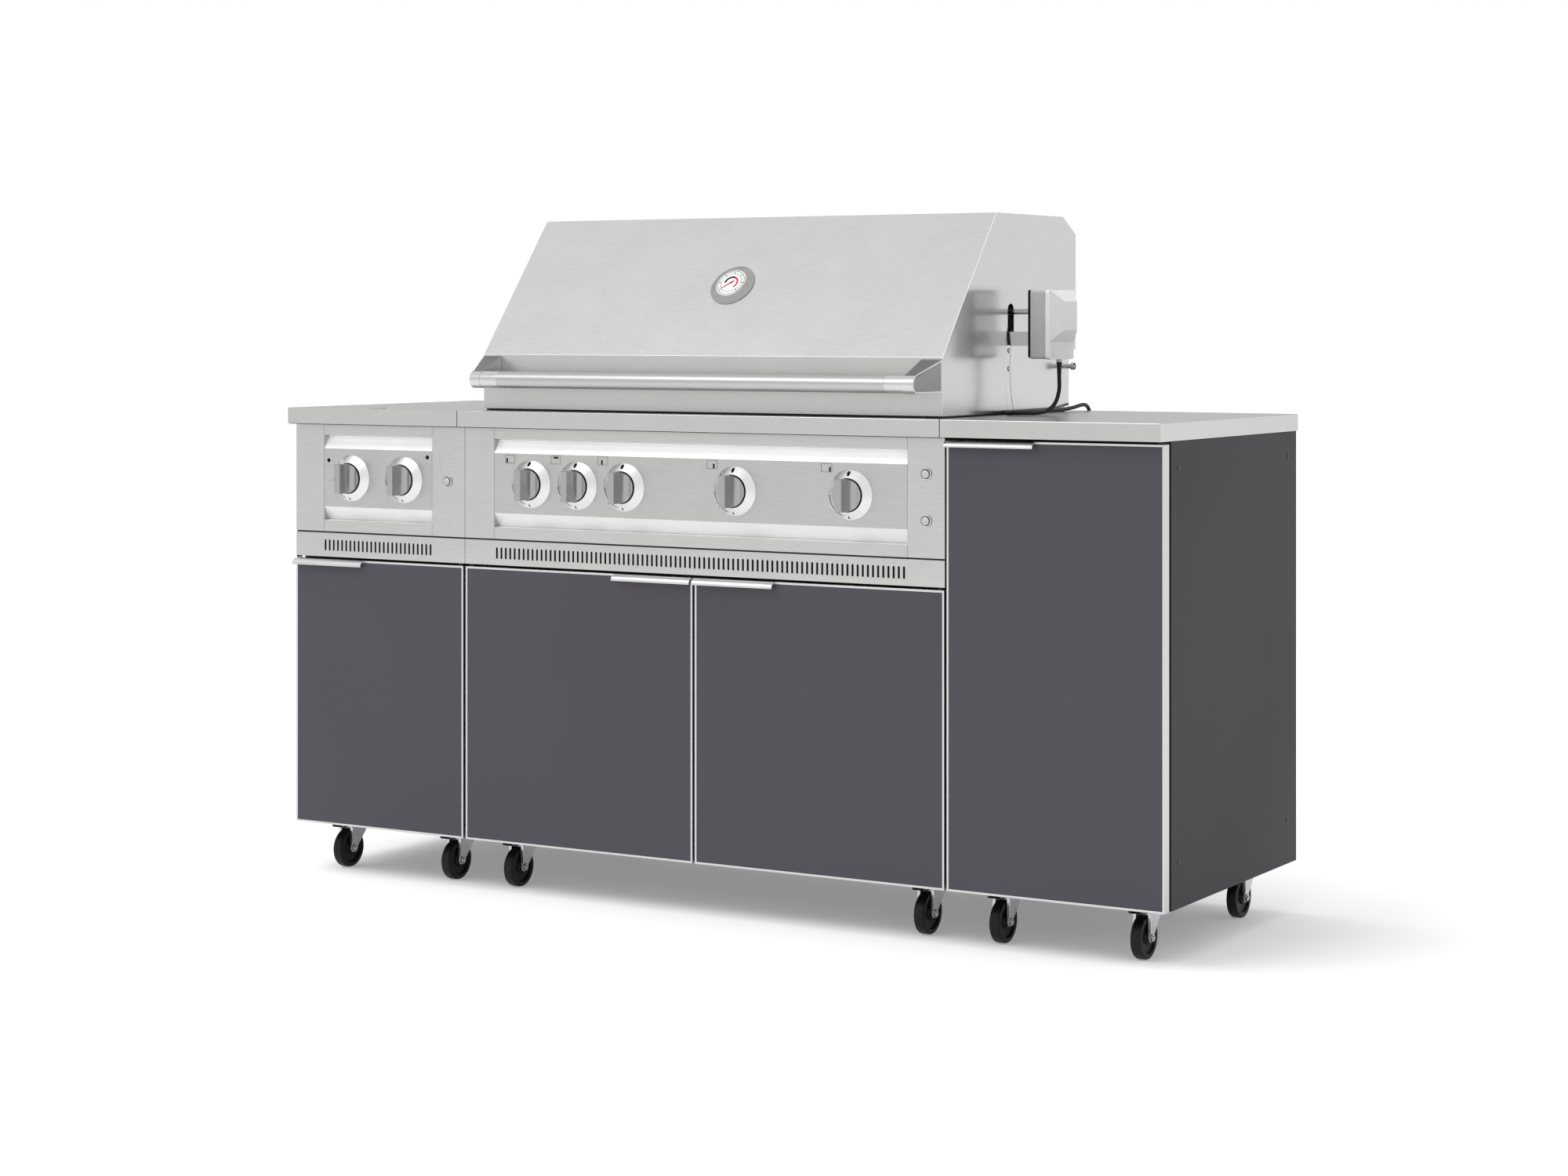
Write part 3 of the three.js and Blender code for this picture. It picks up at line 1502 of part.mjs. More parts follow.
const wheel_solid = casterWheel();
for (const module of modules) {
  for (const [row, y] of caster_rows.entries()) {
    const fork_solid = casterFork(row === 0);
    for (const [column, x] of casterColumns(module).entries()) {
      const name = `${module.name}_${row === 0 ? "front" : "rear"}_${column + 1}`;
      piece(`caster_fork_${name}`, fork_solid, materials.zinc).position.set(x, y, 0);
      piece(`caster_wheel_${name}`, wheel_solid, materials.rubber).position.set(x, y, 0);
    }
  }
}

// Power cord: down from the motor's gland, over the worktop and down the back to the plug on the floor
const cord_route = [
  [gland_x, gland_y, gland_bottom - seat_gap],
  [gland_x, gland_y, 985],
  [1514, 353, 958],
  [1511, 342, 935],
  [1505, 322, 922.5],
  [1498.5, 298, 919],
  [1487, 276, 918.8],
  [1467, 268, 918.8],
  [1448.5, 278, 918.8],
  [1441, 298, 918.8],
  [1441, 340, 918.8],
  [1443, 420, 918.8],
  [1445, 520, 919.4],
  [1446, 560, 922],
  [1446, 588, 925.2],
  [1446, 604.9, 925.8],
  [1446, 616, 923.6],
  [1446, 625.4, 917.3],
  [1446, 631.7, 907.9],
  [1446, 633.9, 896.8],
  [1446, 634, 700],
  [1446, 634, 400],
  [1446, 634, 90],
  [1446, 634.5, 46],
  [1442.8, 636, 29],
  [1434, 639, 16],
  [1421, 643, 7.6],
  [1405, 647, 4.6],
  [1370, 654, 4.4],
  [1335, 659, 5.6],
  [1300, 662.5, 9],
  [1272, 664, 11.2],
  [1245, 664, 11.4],
];

function powerCord() {
  const curve = new THREE.CatmullRomCurve3(
    cord_route.map((point) => new THREE.Vector3(...point)),
    false,
    "centripetal",
  );
  const radius = cord_diameter / 2;
  const ring = arcPoints([0, 0], radius, 0, 2 * Math.PI, cord_sides).slice(1);
  const section = new THREE.Shape(ring.map(([u, v]) => new THREE.Vector2(u, v)));
  const path = { steps: cord_steps, extrudePath: curve, bevelEnabled: false };
  return solidOf(new THREE.ExtrudeGeometry(section, path));
}

piece("power_cord", powerCord(), materials.rubber);

function plug() {
  const [x, y] = cord_route[cord_route.length - 1];
  const start = x - seat_gap;
  const z = plug_height / 2 + plug_floor_gap;
  const corners = (at, width, height) =>
    rectangle([y - width / 2, y + width / 2], [z - height / 2, z + height / 2]).map(
      ([v, w]) => new THREE.Vector3(at, v, w),
    );
  const body = solidOf(
    new ConvexGeometry([
      ...corners(start, plug_nose_width, plug_nose_width),
      ...corners(start - plug_nose_length, plug_width, plug_height),
      ...corners(start - plug_length, plug_width, plug_height),
    ]),
  );
  const tip = plug_length + plug_pin_length;
  const pins = [-1, 1].map((side) =>
    rod(
      plug_pin_diameter,
      pin_sides,
      [start, y + (side * plug_pin_spread) / 2, z],
      new THREE.Vector3(-1, 0, 0),
      plug_length - sheet,
      tip,
    ),
  );
  return union(body, ...pins);
}

piece("plug", plug(), materials.rubber);

// The box without the cord: its front is the knobs or the handle, its rear the worktops
const front_limit = Math.min(fascia_front - knob_height, handle_axis_y - handle_nose_radius);
island.position.set(-island_width / 2, -(front_limit + worktop_depth) / 2, 0);

const part = new THREE.Group();
part.add(island);

export default part;
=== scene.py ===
import math

import bmesh
import bpy
from mathutils import Matrix, Vector


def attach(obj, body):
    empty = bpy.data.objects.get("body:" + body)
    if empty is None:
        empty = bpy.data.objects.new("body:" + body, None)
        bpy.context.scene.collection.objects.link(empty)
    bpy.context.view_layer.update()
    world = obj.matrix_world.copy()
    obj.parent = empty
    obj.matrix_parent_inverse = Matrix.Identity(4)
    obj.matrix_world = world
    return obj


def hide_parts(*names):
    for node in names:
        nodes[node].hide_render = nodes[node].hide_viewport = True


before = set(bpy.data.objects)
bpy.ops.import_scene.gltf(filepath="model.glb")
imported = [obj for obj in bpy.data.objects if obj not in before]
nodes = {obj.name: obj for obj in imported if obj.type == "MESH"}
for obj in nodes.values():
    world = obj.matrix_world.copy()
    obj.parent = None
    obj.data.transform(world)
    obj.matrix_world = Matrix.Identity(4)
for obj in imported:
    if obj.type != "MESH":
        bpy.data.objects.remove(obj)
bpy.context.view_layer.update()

# Sizes are in millimetres from the worktop's left front corner at floor level, as the solids are laid out.
MM = 1000
FULL_TURN = 2 * math.pi
CORNER = Vector((935.0, 301.35, 0.0))
MIDDLE = 935.0
SHEET = 2
COUNTER = 914.4
WORKTOP_SEAMS = (415.5, 1454.5)
CASE_LEFT, CASE_RIGHT = 3.0, 1867.0
FASCIA, FLANGE_REAR = 25.0, 49.7
KNOB_Z = 777.1
PANEL_LOW, PANEL_HIGH = 671.1, 883.1
VENT_LOW, VENT_HIGH = 621.1, 667.1
VENT_CREST = VENT_HIGH + 1
HOOD_LEFT, HOOD_RIGHT = 438.3, 1431.7
HOOD_FRONT, HOOD_REAR = 56, 597.5
HOOD_BOTTOM, SKIRT_TOP, HOOD_TOP = 918.0, 1021.0, 1281.5
CREST_FRONT, CREST_REAR = 265, 542
BACK_LOW, BACK_HIGH = 1031, 1250
MOTOR_FACE = 1487.7
RIGHT, REARWARD, UP, OUT = (1, 0, 0), (0, 1, 0), (0, 0, 1), (0, -1, 0)
# Axes along X, as (Y, Z)
HANDLE = (-1.0, 974.5)
SPIT = (327.0, 1102.0)
HINGE = (533.0, 1000.0)
# Start and end of each panel and of the grooved section in it
PANELS = {
    "left": (1.0, 415.6, 71.4, 337.4),
    "center": (416.4, 1452.0, 485.0, 1378.0),
}
KNOBS = {
    "knob_left_1": 139.8,
    "knob_left_2": 269.0,
    "knob_center_1": 570.9,
    "knob_center_2": 676.5,
    "knob_center_3": 782.1,
    "knob_center_4": 1022.7,
    "knob_center_5": 1263.3,
}
BUTTONS = {
    "igniter_button_left": (374.4, KNOB_Z),
    "igniter_button_upper": (1415.0, KNOB_Z + 41),
    "igniter_button_lower": (1415.0, KNOB_Z - 41),
}
# Start, end and top of each door, and whether its pull lies at the start (1) or at the end (-1)
DOORS = {
    "door_left": (3.0, 414.0, 616.5, 1),
    "door_center_left": (420.0, 933.6, 616.5, -1),
    "door_center_right": (938.6, 1452.2, 616.5, 1),
    "door_right": (1457.0, 1867.0, 878.4, 1),
}
DOOR_LOW, DOOR_FRONT, DOOR_REAR = 95.0, 22, 42


def place(x, y, z):
    return (Vector((x, y, z)) - CORNER) / MM


def add_object(name, data):
    made = bpy.data.objects.new(name, data)
    bpy.context.scene.collection.objects.link(made)
    return made


# Camera
camera_data = bpy.data.cameras.new("camera")
camera = add_object("camera", camera_data)
camera.location = (2.9795, -4.95135, 1.0845)
camera.rotation_euler = (math.radians(90), 0, math.radians(30.808))
camera_data.lens = 69.70
camera_data.sensor_width = 36
camera_data.shift_y = -0.1701
camera_data.clip_end = 200
bpy.context.scene.camera = camera


# Outlines, as lists of (u, v)
def rectangle(u, v):
    return [(u[0], v[0]), (u[1], v[0]), (u[1], v[1]), (u[0], v[1])]


def spots(center, radius, angles):
    return [(center[0] + radius * math.cos(a), center[1] + radius * math.sin(a)) for a in angles]


def arc(center, radius, start, end, steps):
    return spots(center, radius, [start + (end - start) * i / steps for i in range(steps + 1)])


def circle(center, radius, steps):
    return arc(center, radius, 0, FULL_TURN, steps)[:-1]


def rounded(u, v, radius, steps=5):
    """A rectangle with round corners."""
    centers = rectangle((u[0] + radius, u[1] - radius), (v[0] + radius, v[1] - radius))
    outline, quarter = [], math.pi / 2
    for i, center in enumerate(centers[2:] + centers[:2]):
        outline += arc(center, radius, i * quarter, (i + 1) * quarter, steps)
    return outline


def offset(line, distance, sharpest=0.2):
    """The line moved to its left by distance, with mitred corners."""
    ways = [Vector((b[0] - a[0], b[1] - a[1])).normalized() for a, b in zip(line, line[1:])]
    moved = []
    for (u, v), before, after in zip(line, ways[:1] + ways, ways + ways[-1:]):
        left = Vector((-before.y, before.x))
        normal = (left + Vector((-after.y, after.x))).normalized()
        scale = distance / max(normal.dot(left), sharpest)
        moved.append((u + normal.x * scale, v + normal.y * scale))
    return moved


def inset(outline, distance):
    """A closed outline drawn in by distance."""
    around = sum(a[0] * b[1] - b[0] * a[1] for a, b in zip(outline, outline[1:] + outline[:1]))
    looped = outline[-2:] + outline + outline[:2]
    return offset(looped, math.copysign(distance, around))[2:-2]


# Shapes, as lists of (points, faces)
def along_x(u, v, w):
    return (w, u, v)


def along_y(u, v, w):
    return (u, w, v)


def along_z(u, v, w):
    return (u, v, w)


def block(x, y, z):
    points = [(i, j, k) for k in z for j in y for i in x]
    faces = [(0, 2, 3, 1), (4, 5, 7, 6), (0, 1, 5, 4), (2, 6, 7, 3), (0, 4, 6, 2), (1, 3, 7, 5)]
    return [(points, faces)]


def loft(*rings):
    """A closed solid through rings with the same number of points."""
    count = len(rings[0])
    points = [point for ring in rings for point in ring]
    last = len(points) - count
    faces = [tuple(range(count)), tuple(range(len(points) - 1, last - 1, -1))]
    for start in range(0, last, count):
        for i in range(count):
            j = (i + 1) % count
            faces.append((start + i, start + j, start + count + j, start + count + i))
    return [(points, faces)]


def prism(outline, span, axes):
    return loft(*([axes(u, v, w) for u, v in outline] for w in span))


def folded(line, thickness, span, axes):
    return prism(line + offset(line, thickness)[::-1], span, axes)


def turned(profile, spot, axis, segments=64, closed=False):
    """A profile of (radius, height) turned about axis; closed joins its last point to its first."""
    turn = Vector(UP).rotation_difference(Vector(axis))
    points, rings = [], []
    for radius, height in profile:
        count = segments if radius else 1
        rings.append(range(len(points), len(points) + count))
        for i in range(count):
            angle = FULL_TURN * i / segments
            local = Vector((radius * math.cos(angle), radius * math.sin(angle), height))
            points.append(tuple(Vector(spot) + turn @ local))
    pairs = list(zip(rings, rings[1:]))
    if closed:
        pairs.append((rings[-1], rings[0]))
    faces = []
    for low, high in pairs:
        for i in range(segments):
            j = (i + 1) % segments
            corners = low[i % len(low)], low[j % len(low)], high[j % len(high)], high[i % len(high)]
            face = tuple(dict.fromkeys(corners))
            if len(face) > 2:
                faces.append(face)
    return [(points, faces)]


def rod(diameter, spot, axis, start, end, segments=48):
    radius = diameter / 2
    return turned([(0, start), (radius, start), (radius, end), (0, end)], spot, axis, segments)


def evaluated(piece):
    """A new mesh of the piece with its modifiers applied."""
    bpy.context.view_layer.update()
    return bpy.data.meshes.new_from_object(piece.evaluated_get(bpy.context.evaluated_depsgraph_get()))


def plate(outline, holes, span, axes):
    """A flat plate with holes, its faces filled by a 2D curve."""
    curve = bpy.data.curves.new("plate", "CURVE")
    curve.dimensions = "2D"
    curve.fill_mode = "BOTH"
    curve.extrude = 0.5
    for loop in [outline] + holes:
        spline = curve.splines.new("POLY")
        spline.points.add(len(loop) - 1)
        for point, (u, v) in zip(spline.points, loop):
            point.co = (u, v, 0, 1)
        spline.use_cyclic_u = True
    holder = add_object("plate", curve)
    mesh = evaluated(holder)
    middle, depth = (span[0] + span[1]) / 2, span[1] - span[0]
    points = [axes(p.co.x, p.co.y, middle + p.co.z * depth) for p in mesh.vertices]
    faces = [tuple(face.vertices) for face in mesh.polygons]
    bpy.data.objects.remove(holder)
    bpy.data.curves.remove(curve)
    bpy.data.meshes.remove(mesh)
    return [(points, faces)]


def shifted(shape, dx, dy, dz):
    return [([(x + dx, y + dy, z + dz) for x, y, z in points], faces) for points, faces in shape]


def mirrored(shape):
    """The shape on the other side of the island's middle."""
    return [([(2 * MIDDLE - x, y, z) for x, y, z in points], faces) for points, faces in shape]


class Kit:
    """Collects shapes of several materials into one object."""

    def __init__(self):
        self.mesh = bmesh.new()
        self.materials = []

    def index(self, material):
        if material not in self.materials:
            self.materials.append(material)
        return self.materials.index(material)

    def add(self, shape, material, accent=None, picked=None):
        """Adds a shape; the faces that picked chooses by their centre get the accent material."""
        for points, faces in shape:
            made = [self.mesh.verts.new(place(*point)) for point in points]
            new_faces = []
            for face in faces:
                try:
                    new_faces.append(self.mesh.faces.new([made[i] for i in face]))
                except ValueError:
                    continue
            bmesh.ops.remove_doubles(self.mesh, verts=made, dist=1e-7)
            new_faces = [face for face in new_faces if face.is_valid]
            bmesh.ops.recalc_face_normals(self.mesh, faces=new_faces)
            for face in new_faces:
                chosen = accent if picked and picked(face.calc_center_median()) else material
                face.material_index = self.index(chosen)
                face.smooth = True
        return self

    def data(self, name):
        made = bpy.data.meshes.new(name)
        self.mesh.to_mesh(made)
        self.mesh.free()
        return made

    def finish(self, name, body, slot, stands_for=(), bevel=0.4, segments=2, angle=30):
        data = self.data(name)
        for material in self.materials:
            data.materials.append(material)
        piece = add_object(name, data)
        soften(piece, bevel, segments, angle)
        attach(piece, body)
        if stands_for:
            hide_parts(*stands_for)
        return piece


def soften(piece, bevel, segments=2, angle=30):
    """Rounds the sharp edges and shades the faces beside them flat."""
    if bevel:
        edge = piece.modifiers.new("edge", "BEVEL")
        edge.width = bevel / MM
        edge.segments = segments
        edge.limit_method = "ANGLE"
        edge.angle_limit = math.radians(angle)
        edge.use_clamp_overlap = True
    normals = piece.modifiers.new("normals", "WEIGHTED_NORMAL")
    normals.keep_sharp = True
    normals.weight = 60


# Materials
class Graph:
    """A node tree under construction, for a material or the world."""

    def __init__(self, owner, output):
        owner.use_nodes = True
        self.tree = owner.node_tree
        self.tree.nodes.clear()
        self.output = self.node(output)

    def node(self, kind, sockets=None, **values):
        """A new node; each of sockets is a value for an input or another node's output to link to it."""
        made = self.tree.nodes.new(kind)
        for key, value in values.items():
            setattr(made, key, value)
        for key, value in (sockets or {}).items():
            if isinstance(value, bpy.types.NodeSocket):
                self.tree.links.new(value, made.inputs[key])
            else:
                made.inputs[key].default_value = value
        return made

    def math(self, operation, *values):
        return self.node("ShaderNodeMath", dict(enumerate(values)), operation=operation).outputs[0]

    def seen_by(self, *kinds):
        """1 where a ray of one of these kinds looks, and 0 for other rays."""
        rays = self.node("ShaderNodeLightPath")
        found = rays.outputs[kinds[0]]
        for kind in kinds[1:]:
            found = self.math("MAXIMUM", found, rays.outputs[kind])
        return found

    def show(self, shader):
        self.tree.links.new(shader.outputs[0], self.output.inputs[0])


class Finish(Graph):
    """A principled material whose colour, roughness and bumps follow noises."""

    # The span that a noise's values mostly fill
    NOISE_LOW, NOISE_HIGH = 0.3, 0.7

    def __init__(self, name, **values):
        self.material = bpy.data.materials.new(name)
        super().__init__(self.material, "ShaderNodeOutputMaterial")
        sockets = {key.replace("_", " "): value for key, value in values.items()}
        self.shader = self.node("ShaderNodeBsdfPrincipled", sockets)
        self.show(self.shader)

    def feed(self, name, source):
        self.tree.links.new(source, self.shader.inputs[name])

    def coordinate(self, name="Object"):
        return self.node("ShaderNodeTexCoord").outputs[name]

    def split(self, vector):
        return self.node("ShaderNodeSeparateXYZ", {0: vector}).outputs

    def noise(self, scale=1.0, detail=2.0, roughness=0.5, stretch=None):
        """A noise over the surface; stretch sets its scale along each axis."""
        vector = self.coordinate()
        if stretch:
            vector = self.node("ShaderNodeMapping", {"Vector": vector, "Scale": stretch}).outputs[0]
        sockets = {"Vector": vector, "Scale": scale, "Detail": detail, "Roughness": roughness}
        return self.node("ShaderNodeTexNoise", sockets).outputs["Fac"]

    def ranged(self, source, low, high, start=0.0, end=1.0):
        sockets = {"Value": source, "From Min": start, "From Max": end, "To Min": low, "To Max": high}
        return self.node("ShaderNodeMapRange", sockets).outputs[0]

    def vary(self, noise, middle, less, more=None):
        """A value that follows a noise from middle - less to middle + more."""
        more = less if more is None else more
        return self.ranged(noise, middle - less, middle + more, self.NOISE_LOW, self.NOISE_HIGH)

    def blend(self, factor, first, second):
        return self.node("ShaderNodeMix", {0: factor, 2: first, 3: second}, data_type="FLOAT").outputs[0]

    def tint(self, colour, factor):
        """The colour times a factor that varies over the surface."""
        sockets = {0: 1.0, 6: (*colour, 1.0), 7: factor}
        mix = self.node("ShaderNodeMix", sockets, data_type="RGBA", blend_type="MULTIPLY")
        self.feed("Base Color", mix.outputs[2])

    def follow(self, noise, colour, roughness, play, darker, lighter=None):
        """The roughness follows a noise by play each way, and the colour by darker and lighter."""
        self.tint(colour, self.vary(noise, 1, darker, lighter))
        self.feed("Roughness", self.vary(noise, roughness, play))

    def bump(self, height, strength, distance):
        sockets = {"Strength": strength, "Distance": distance, "Height": height}
        self.feed("Normal", self.node("ShaderNodeBump", sockets).outputs[0])


def brushed(name, colour, roughness, streak=0.05, length=40.0, fine=1500.0, cloud=0.012, edge=1.0, ends=1.0):
    """Sheet metal with fine streaks along X, or along Y where a face looks to the side.

    edge darkens it at a low angle, and ends multiplies the colour of faces that look to the side, which paints
    a highlight on them where it is above 1.
    """
    finish = Finish(name, Metallic=1.0, Specular_Tint=(edge, edge, edge, 1.0))
    lengthways = finish.noise(detail=3.0, roughness=0.6, stretch=(length, fine, fine))
    sideways = finish.noise(detail=3.0, roughness=0.6, stretch=(fine, length, fine))
    facing = finish.math("ABSOLUTE", finish.split(finish.coordinate("Normal"))[0])
    side = finish.math("GREATER_THAN", facing, 0.7)
    grain = finish.blend(side, lengthways, sideways)
    clouds = finish.noise(scale=11.0)
    shade = finish.math("ADD", finish.vary(grain, 1, streak, streak * 0.5), finish.vary(clouds, 0, cloud))
    # Faces that look to the side are multiplied by ends: a painted highlight where ends is above 1
    finish.tint(colour, finish.math("MULTIPLY", shade, finish.ranged(side, 1.0, ends)))
    rough = finish.math("ADD", finish.vary(grain, roughness, 0.05, 0.06), finish.vary(clouds, 0, cloud))
    finish.feed("Roughness", rough)
    finish.bump(grain, 0.35, 0.000008)
    return finish.material


def lathed(name, colour, roughness, axis="Z", anisotropy=0.75, metallic=1.0):
    """Metal with the circular tool marks of a lathe."""
    finish = Finish(name, Metallic=metallic, Anisotropic=anisotropy)
    finish.feed("Tangent", finish.node("ShaderNodeTangent", direction_type="RADIAL", axis=axis).outputs[0])
    finish.follow(finish.noise(stretch=(700.0, 700.0, 700.0)), colour, roughness, 0.04, 0.05, 0.03)
    return finish.material


def painted(name, colour, roughness, specular=0.5):
    """Satin powder coat: fine orange peel, slight drift of tone."""
    finish = Finish(name, Specular_IOR_Level=specular)
    peel = finish.noise(scale=1500.0)
    drift = finish.noise(scale=2.2)
    speckle = finish.noise(scale=4200.0, detail=1.0)
    finish.tint(colour, finish.math("ADD", finish.vary(drift, 1, 0.06), finish.vary(speckle, 0, 0.05)))
    finish.feed("Roughness", finish.vary(drift, roughness, 0.03))
    finish.bump(peel, 0.25, 0.00004)
    return finish.material


def polished(name, colour, roughness, metallic=1.0):
    """Smooth bright metal with a slight drift of gloss."""
    finish = Finish(name, Metallic=metallic)
    finish.follow(finish.noise(scale=30.0), colour, roughness, 0.02, 0.015, 0.01)
    return finish.material


def cast(name, colour, roughness):
    """Cast metal with a sand-like grain."""
    finish = Finish(name, Metallic=1.0)
    grain = finish.noise(scale=1100.0, detail=3.0, roughness=0.7)
    finish.follow(grain, colour, roughness, 0.1, 0.45, 0.35)
    finish.bump(grain, 0.6, 0.00015)
    return finish.material


def moulded(name, colour, roughness, scale=1800.0, depth=0.00004, spread=0.04, specular=0.5):
    """Plastic or rubber with a fine moulded texture."""
    finish = Finish(name, Specular_IOR_Level=specular)
    finish.follow(finish.noise(scale=40.0), colour, roughness, 0.05, spread)
    finish.bump(finish.noise(scale=scale), 0.3, depth)
    return finish.material


def knurled(name, colour, roughness, axis, pitch):
    """Diamond knurl of this pitch in millimetres about an axis along X through (Y, Z)."""
    finish = Finish(name, Metallic=1.0)
    x, y, z = finish.split(finish.coordinate())
    _, axis_y, axis_z = place(0, *axis)
    angle = finish.math("ARCTAN2", finish.math("SUBTRACT", z, axis_z), finish.math("SUBTRACT", y, axis_y))
    turns = finish.math("MULTIPLY", angle, 22.0)
    along = finish.math("MULTIPLY", x, math.pi * MM / pitch)
    ways = [finish.math(way, along, turns) for way in ("ADD", "SUBTRACT")]
    ridges = [finish.math("ABSOLUTE", finish.math("SINE", way)) for way in ways]
    diamonds = finish.math("MULTIPLY", *ridges)
    finish.tint(colour, finish.ranged(diamonds, 0.7, 1.05))
    finish.feed("Roughness", finish.ranged(diamonds, roughness + 0.12, roughness))
    finish.bump(diamonds, 0.5, 0.0002)
    return finish.material


def plain(name, colour, roughness, spread=0.05, specular=0.5):
    """Print or lacquer without a texture of its own."""
    finish = Finish(name, Specular_IOR_Level=specular)
    finish.follow(finish.noise(scale=260.0), colour, roughness, 0.04, spread)
    return finish.material


def grey(tone, blue=None):
    return (tone, tone, tone if blue is None else blue)


# The worktop's faces that look to the side are painted 1.38 times lighter, a painted highlight
WORKTOP = brushed("worktop_brushed", grey(0.51, 0.502), 0.27, edge=0.62, ends=1.38)
FASCIA_STEEL = brushed("fascia_brushed", grey(0.515, 0.503), 0.30, streak=0.08)
FIELD_STEEL = brushed("field_brushed", grey(0.475, 0.464), 0.30, streak=0.08)
# Near-white groove faces of the same sheet steel as the fascia: a painted reflection of the bright
# surroundings, lighter in the upper groove than in the lower
COVE_HIGH_REFLECTION = polished("groove_upper_painted_reflection", grey(0.96, 0.965), 0.38, 0.3)
COVE_LOW_REFLECTION = polished("groove_lower_painted_reflection", grey(0.80), 0.38, 0.3)
HOOD_STEEL = brushed("hood_brushed", grey(0.585), 0.30)
# A darker copy of the hood's steel for the upright face under the slope: painted shade
HOOD_SKIRT_SHADE = brushed("hood_skirt_painted_shade", grey(0.505, 0.50), 0.30)
HOOD_SIDE = brushed("hood_side_brushed", grey(0.60, 0.61), 0.19, streak=0.04)
BRIGHT = brushed("frame_aluminium", grey(0.60), 0.34, streak=0.03, fine=500.0)
HANDLE_STEEL = brushed("handle_satin", grey(0.57), 0.16, streak=0.03)
HANDLE_FACE = cast("handle_cast_face", grey(0.36, 0.355), 0.45)
# Dark metal for the tops of the handle's brackets: painted shade for the reflection of the hood's slope
HANDLE_TOP_SHADE = brushed("handle_top_painted_shade", grey(0.16, 0.158), 0.32)
# Near-white steel for the beads on the hood's folds: painted highlight
EDGE_HIGHLIGHT = polished("hood_edge_painted_highlight", grey(0.95), 0.25, 0.3)
KNURL = knurled("handle_knurl", grey(0.54), 0.15, HANDLE, 2.1)
KNOB_METAL = brushed("knob_satin", grey(0.38, 0.375), 0.22, streak=0.04, length=700.0, fine=700.0)
KNOB_FACE = brushed("knob_bright", grey(0.38, 0.375), 0.20, streak=0.04, length=700.0, fine=700.0)
BEZEL_METAL = lathed("bezel_turned", grey(0.74, 0.735), 0.27, axis="Y", anisotropy=0.65, metallic=0.8)
GAUGE_METAL = lathed("gauge_turned", grey(0.38, 0.375), 0.18, anisotropy=0.9)
BUTTON_METAL = lathed("button_turned", grey(0.52), 0.25, axis="Y", anisotropy=0.5)
DOOR_PAINT = painted("door_paint", (0.047, 0.0425, 0.0575), 0.42)
CARCASS_PAINT = painted("carcass_paint", (0.028, 0.0265, 0.033), 0.5, specular=0.2)
BURNER_STEEL = brushed("burner_brushed", (0.42, 0.41, 0.40), 0.38)
PAN_STEEL = brushed("pan_brushed", grey(0.5), 0.32)
IRON = moulded("grate_iron", grey(0.03), 0.55, scale=900.0, depth=0.0002, spread=0.2)
SPIT_STEEL = brushed("spit_bright", grey(0.52), 0.2)
BACK_PLATE = polished("motor_back_plate", grey(0.92), 0.25)
SHELL = moulded("motor_shell", grey(0.74), 0.42)
# The motor's body is darker than its cover: partly its own tone, partly painted shade on its front face, which
# looks away from the light
MOTOR_CASE_TONE_AND_SHADE = moulded("motor_case_tone_and_painted_shade", grey(0.42, 0.415), 0.38)
# Black rubber for seals, also used as painted shade in gaps
GASKET_AND_SHADE = moulded("gasket_rubber_and_painted_shade", grey(0.012), 0.6)
ZINC = brushed("zinc_plate", (0.56, 0.57, 0.58), 0.30, streak=0.12, length=60.0, fine=300.0, cloud=0.1)
TYRE = moulded("tyre_rubber", grey(0.006), 0.45, scale=700.0, specular=0.22)
WHEEL_CORE = moulded("wheel_core", grey(0.004), 0.4, specular=0.25)
CORD = moulded("cord_rubber", grey(0.005), 0.42, specular=0.22)
INK = plain("print_black", grey(0.004), 0.6, specular=0.1)
GREY_INK = plain("print_grey", grey(0.06), 0.6, specular=0.1)
RED_INK = plain("print_red", (0.50, 0.012, 0.025), 0.45)
DIAL = plain("dial_white", grey(0.76, 0.75), 0.35, spread=0.01)
SCREW = lathed("screw_steel", grey(0.62), 0.25, axis="X")
DARK_SCREW = plain("screw_dark", grey(0.03, 0.033), 0.4)

# Solids that keep their shape: their facets are joined, their edges eased and their finish put on
CARRIED = {
    "worktop_left": (WORKTOP, 0.8),
    "worktop_center": (WORKTOP, 0.8),
    "worktop_right": (WORKTOP, 0.8),
    "side_burner_lid": (WORKTOP, 0.5),
    "cabinet_left": (CARCASS_PAINT, 0.5),
    "cabinet_center": (CARCASS_PAINT, 0.5),
    "cabinet_right": (CARCASS_PAINT, 0.5),
    "firebox": (HOOD_SIDE, 0.3),
    "cooking_grate": (IRON, 1.2),
    "burners": (BURNER_STEEL, 0.8),
    "side_burner": (PAN_STEEL, 0.4),
}
for name, (material, bevel) in CARRIED.items():
    node = nodes[name]
    node.data.materials.clear()
    node.data.materials.append(material)
    weld = node.modifiers.new("weld", "WELD")
    weld.merge_threshold = 0.00001
    merge = node.modifiers.new("merge", "DECIMATE")
    merge.decimate_type = "DISSOLVE"
    merge.angle_limit = math.radians(0.5)
    soften(node, bevel)


# Dark seals in the gaps between the worktops, and one behind the left end of the gap over the left door
kit = Kit()
for x in WORKTOP_SEAMS:
    kit.add(block((x - 0.7, x + 0.7), (0.1, 621), (884, COUNTER - 0.1)), GASKET_AND_SHADE)
panel_start = PANELS["left"][0]
kit.add(block((panel_start + 0.6, panel_start + 2.6), (FASCIA + 1, 41), (617.2, 621.5)), GASKET_AND_SHADE)
kit.finish("worktop_seals", "island", "worktop_steel", bevel=0)

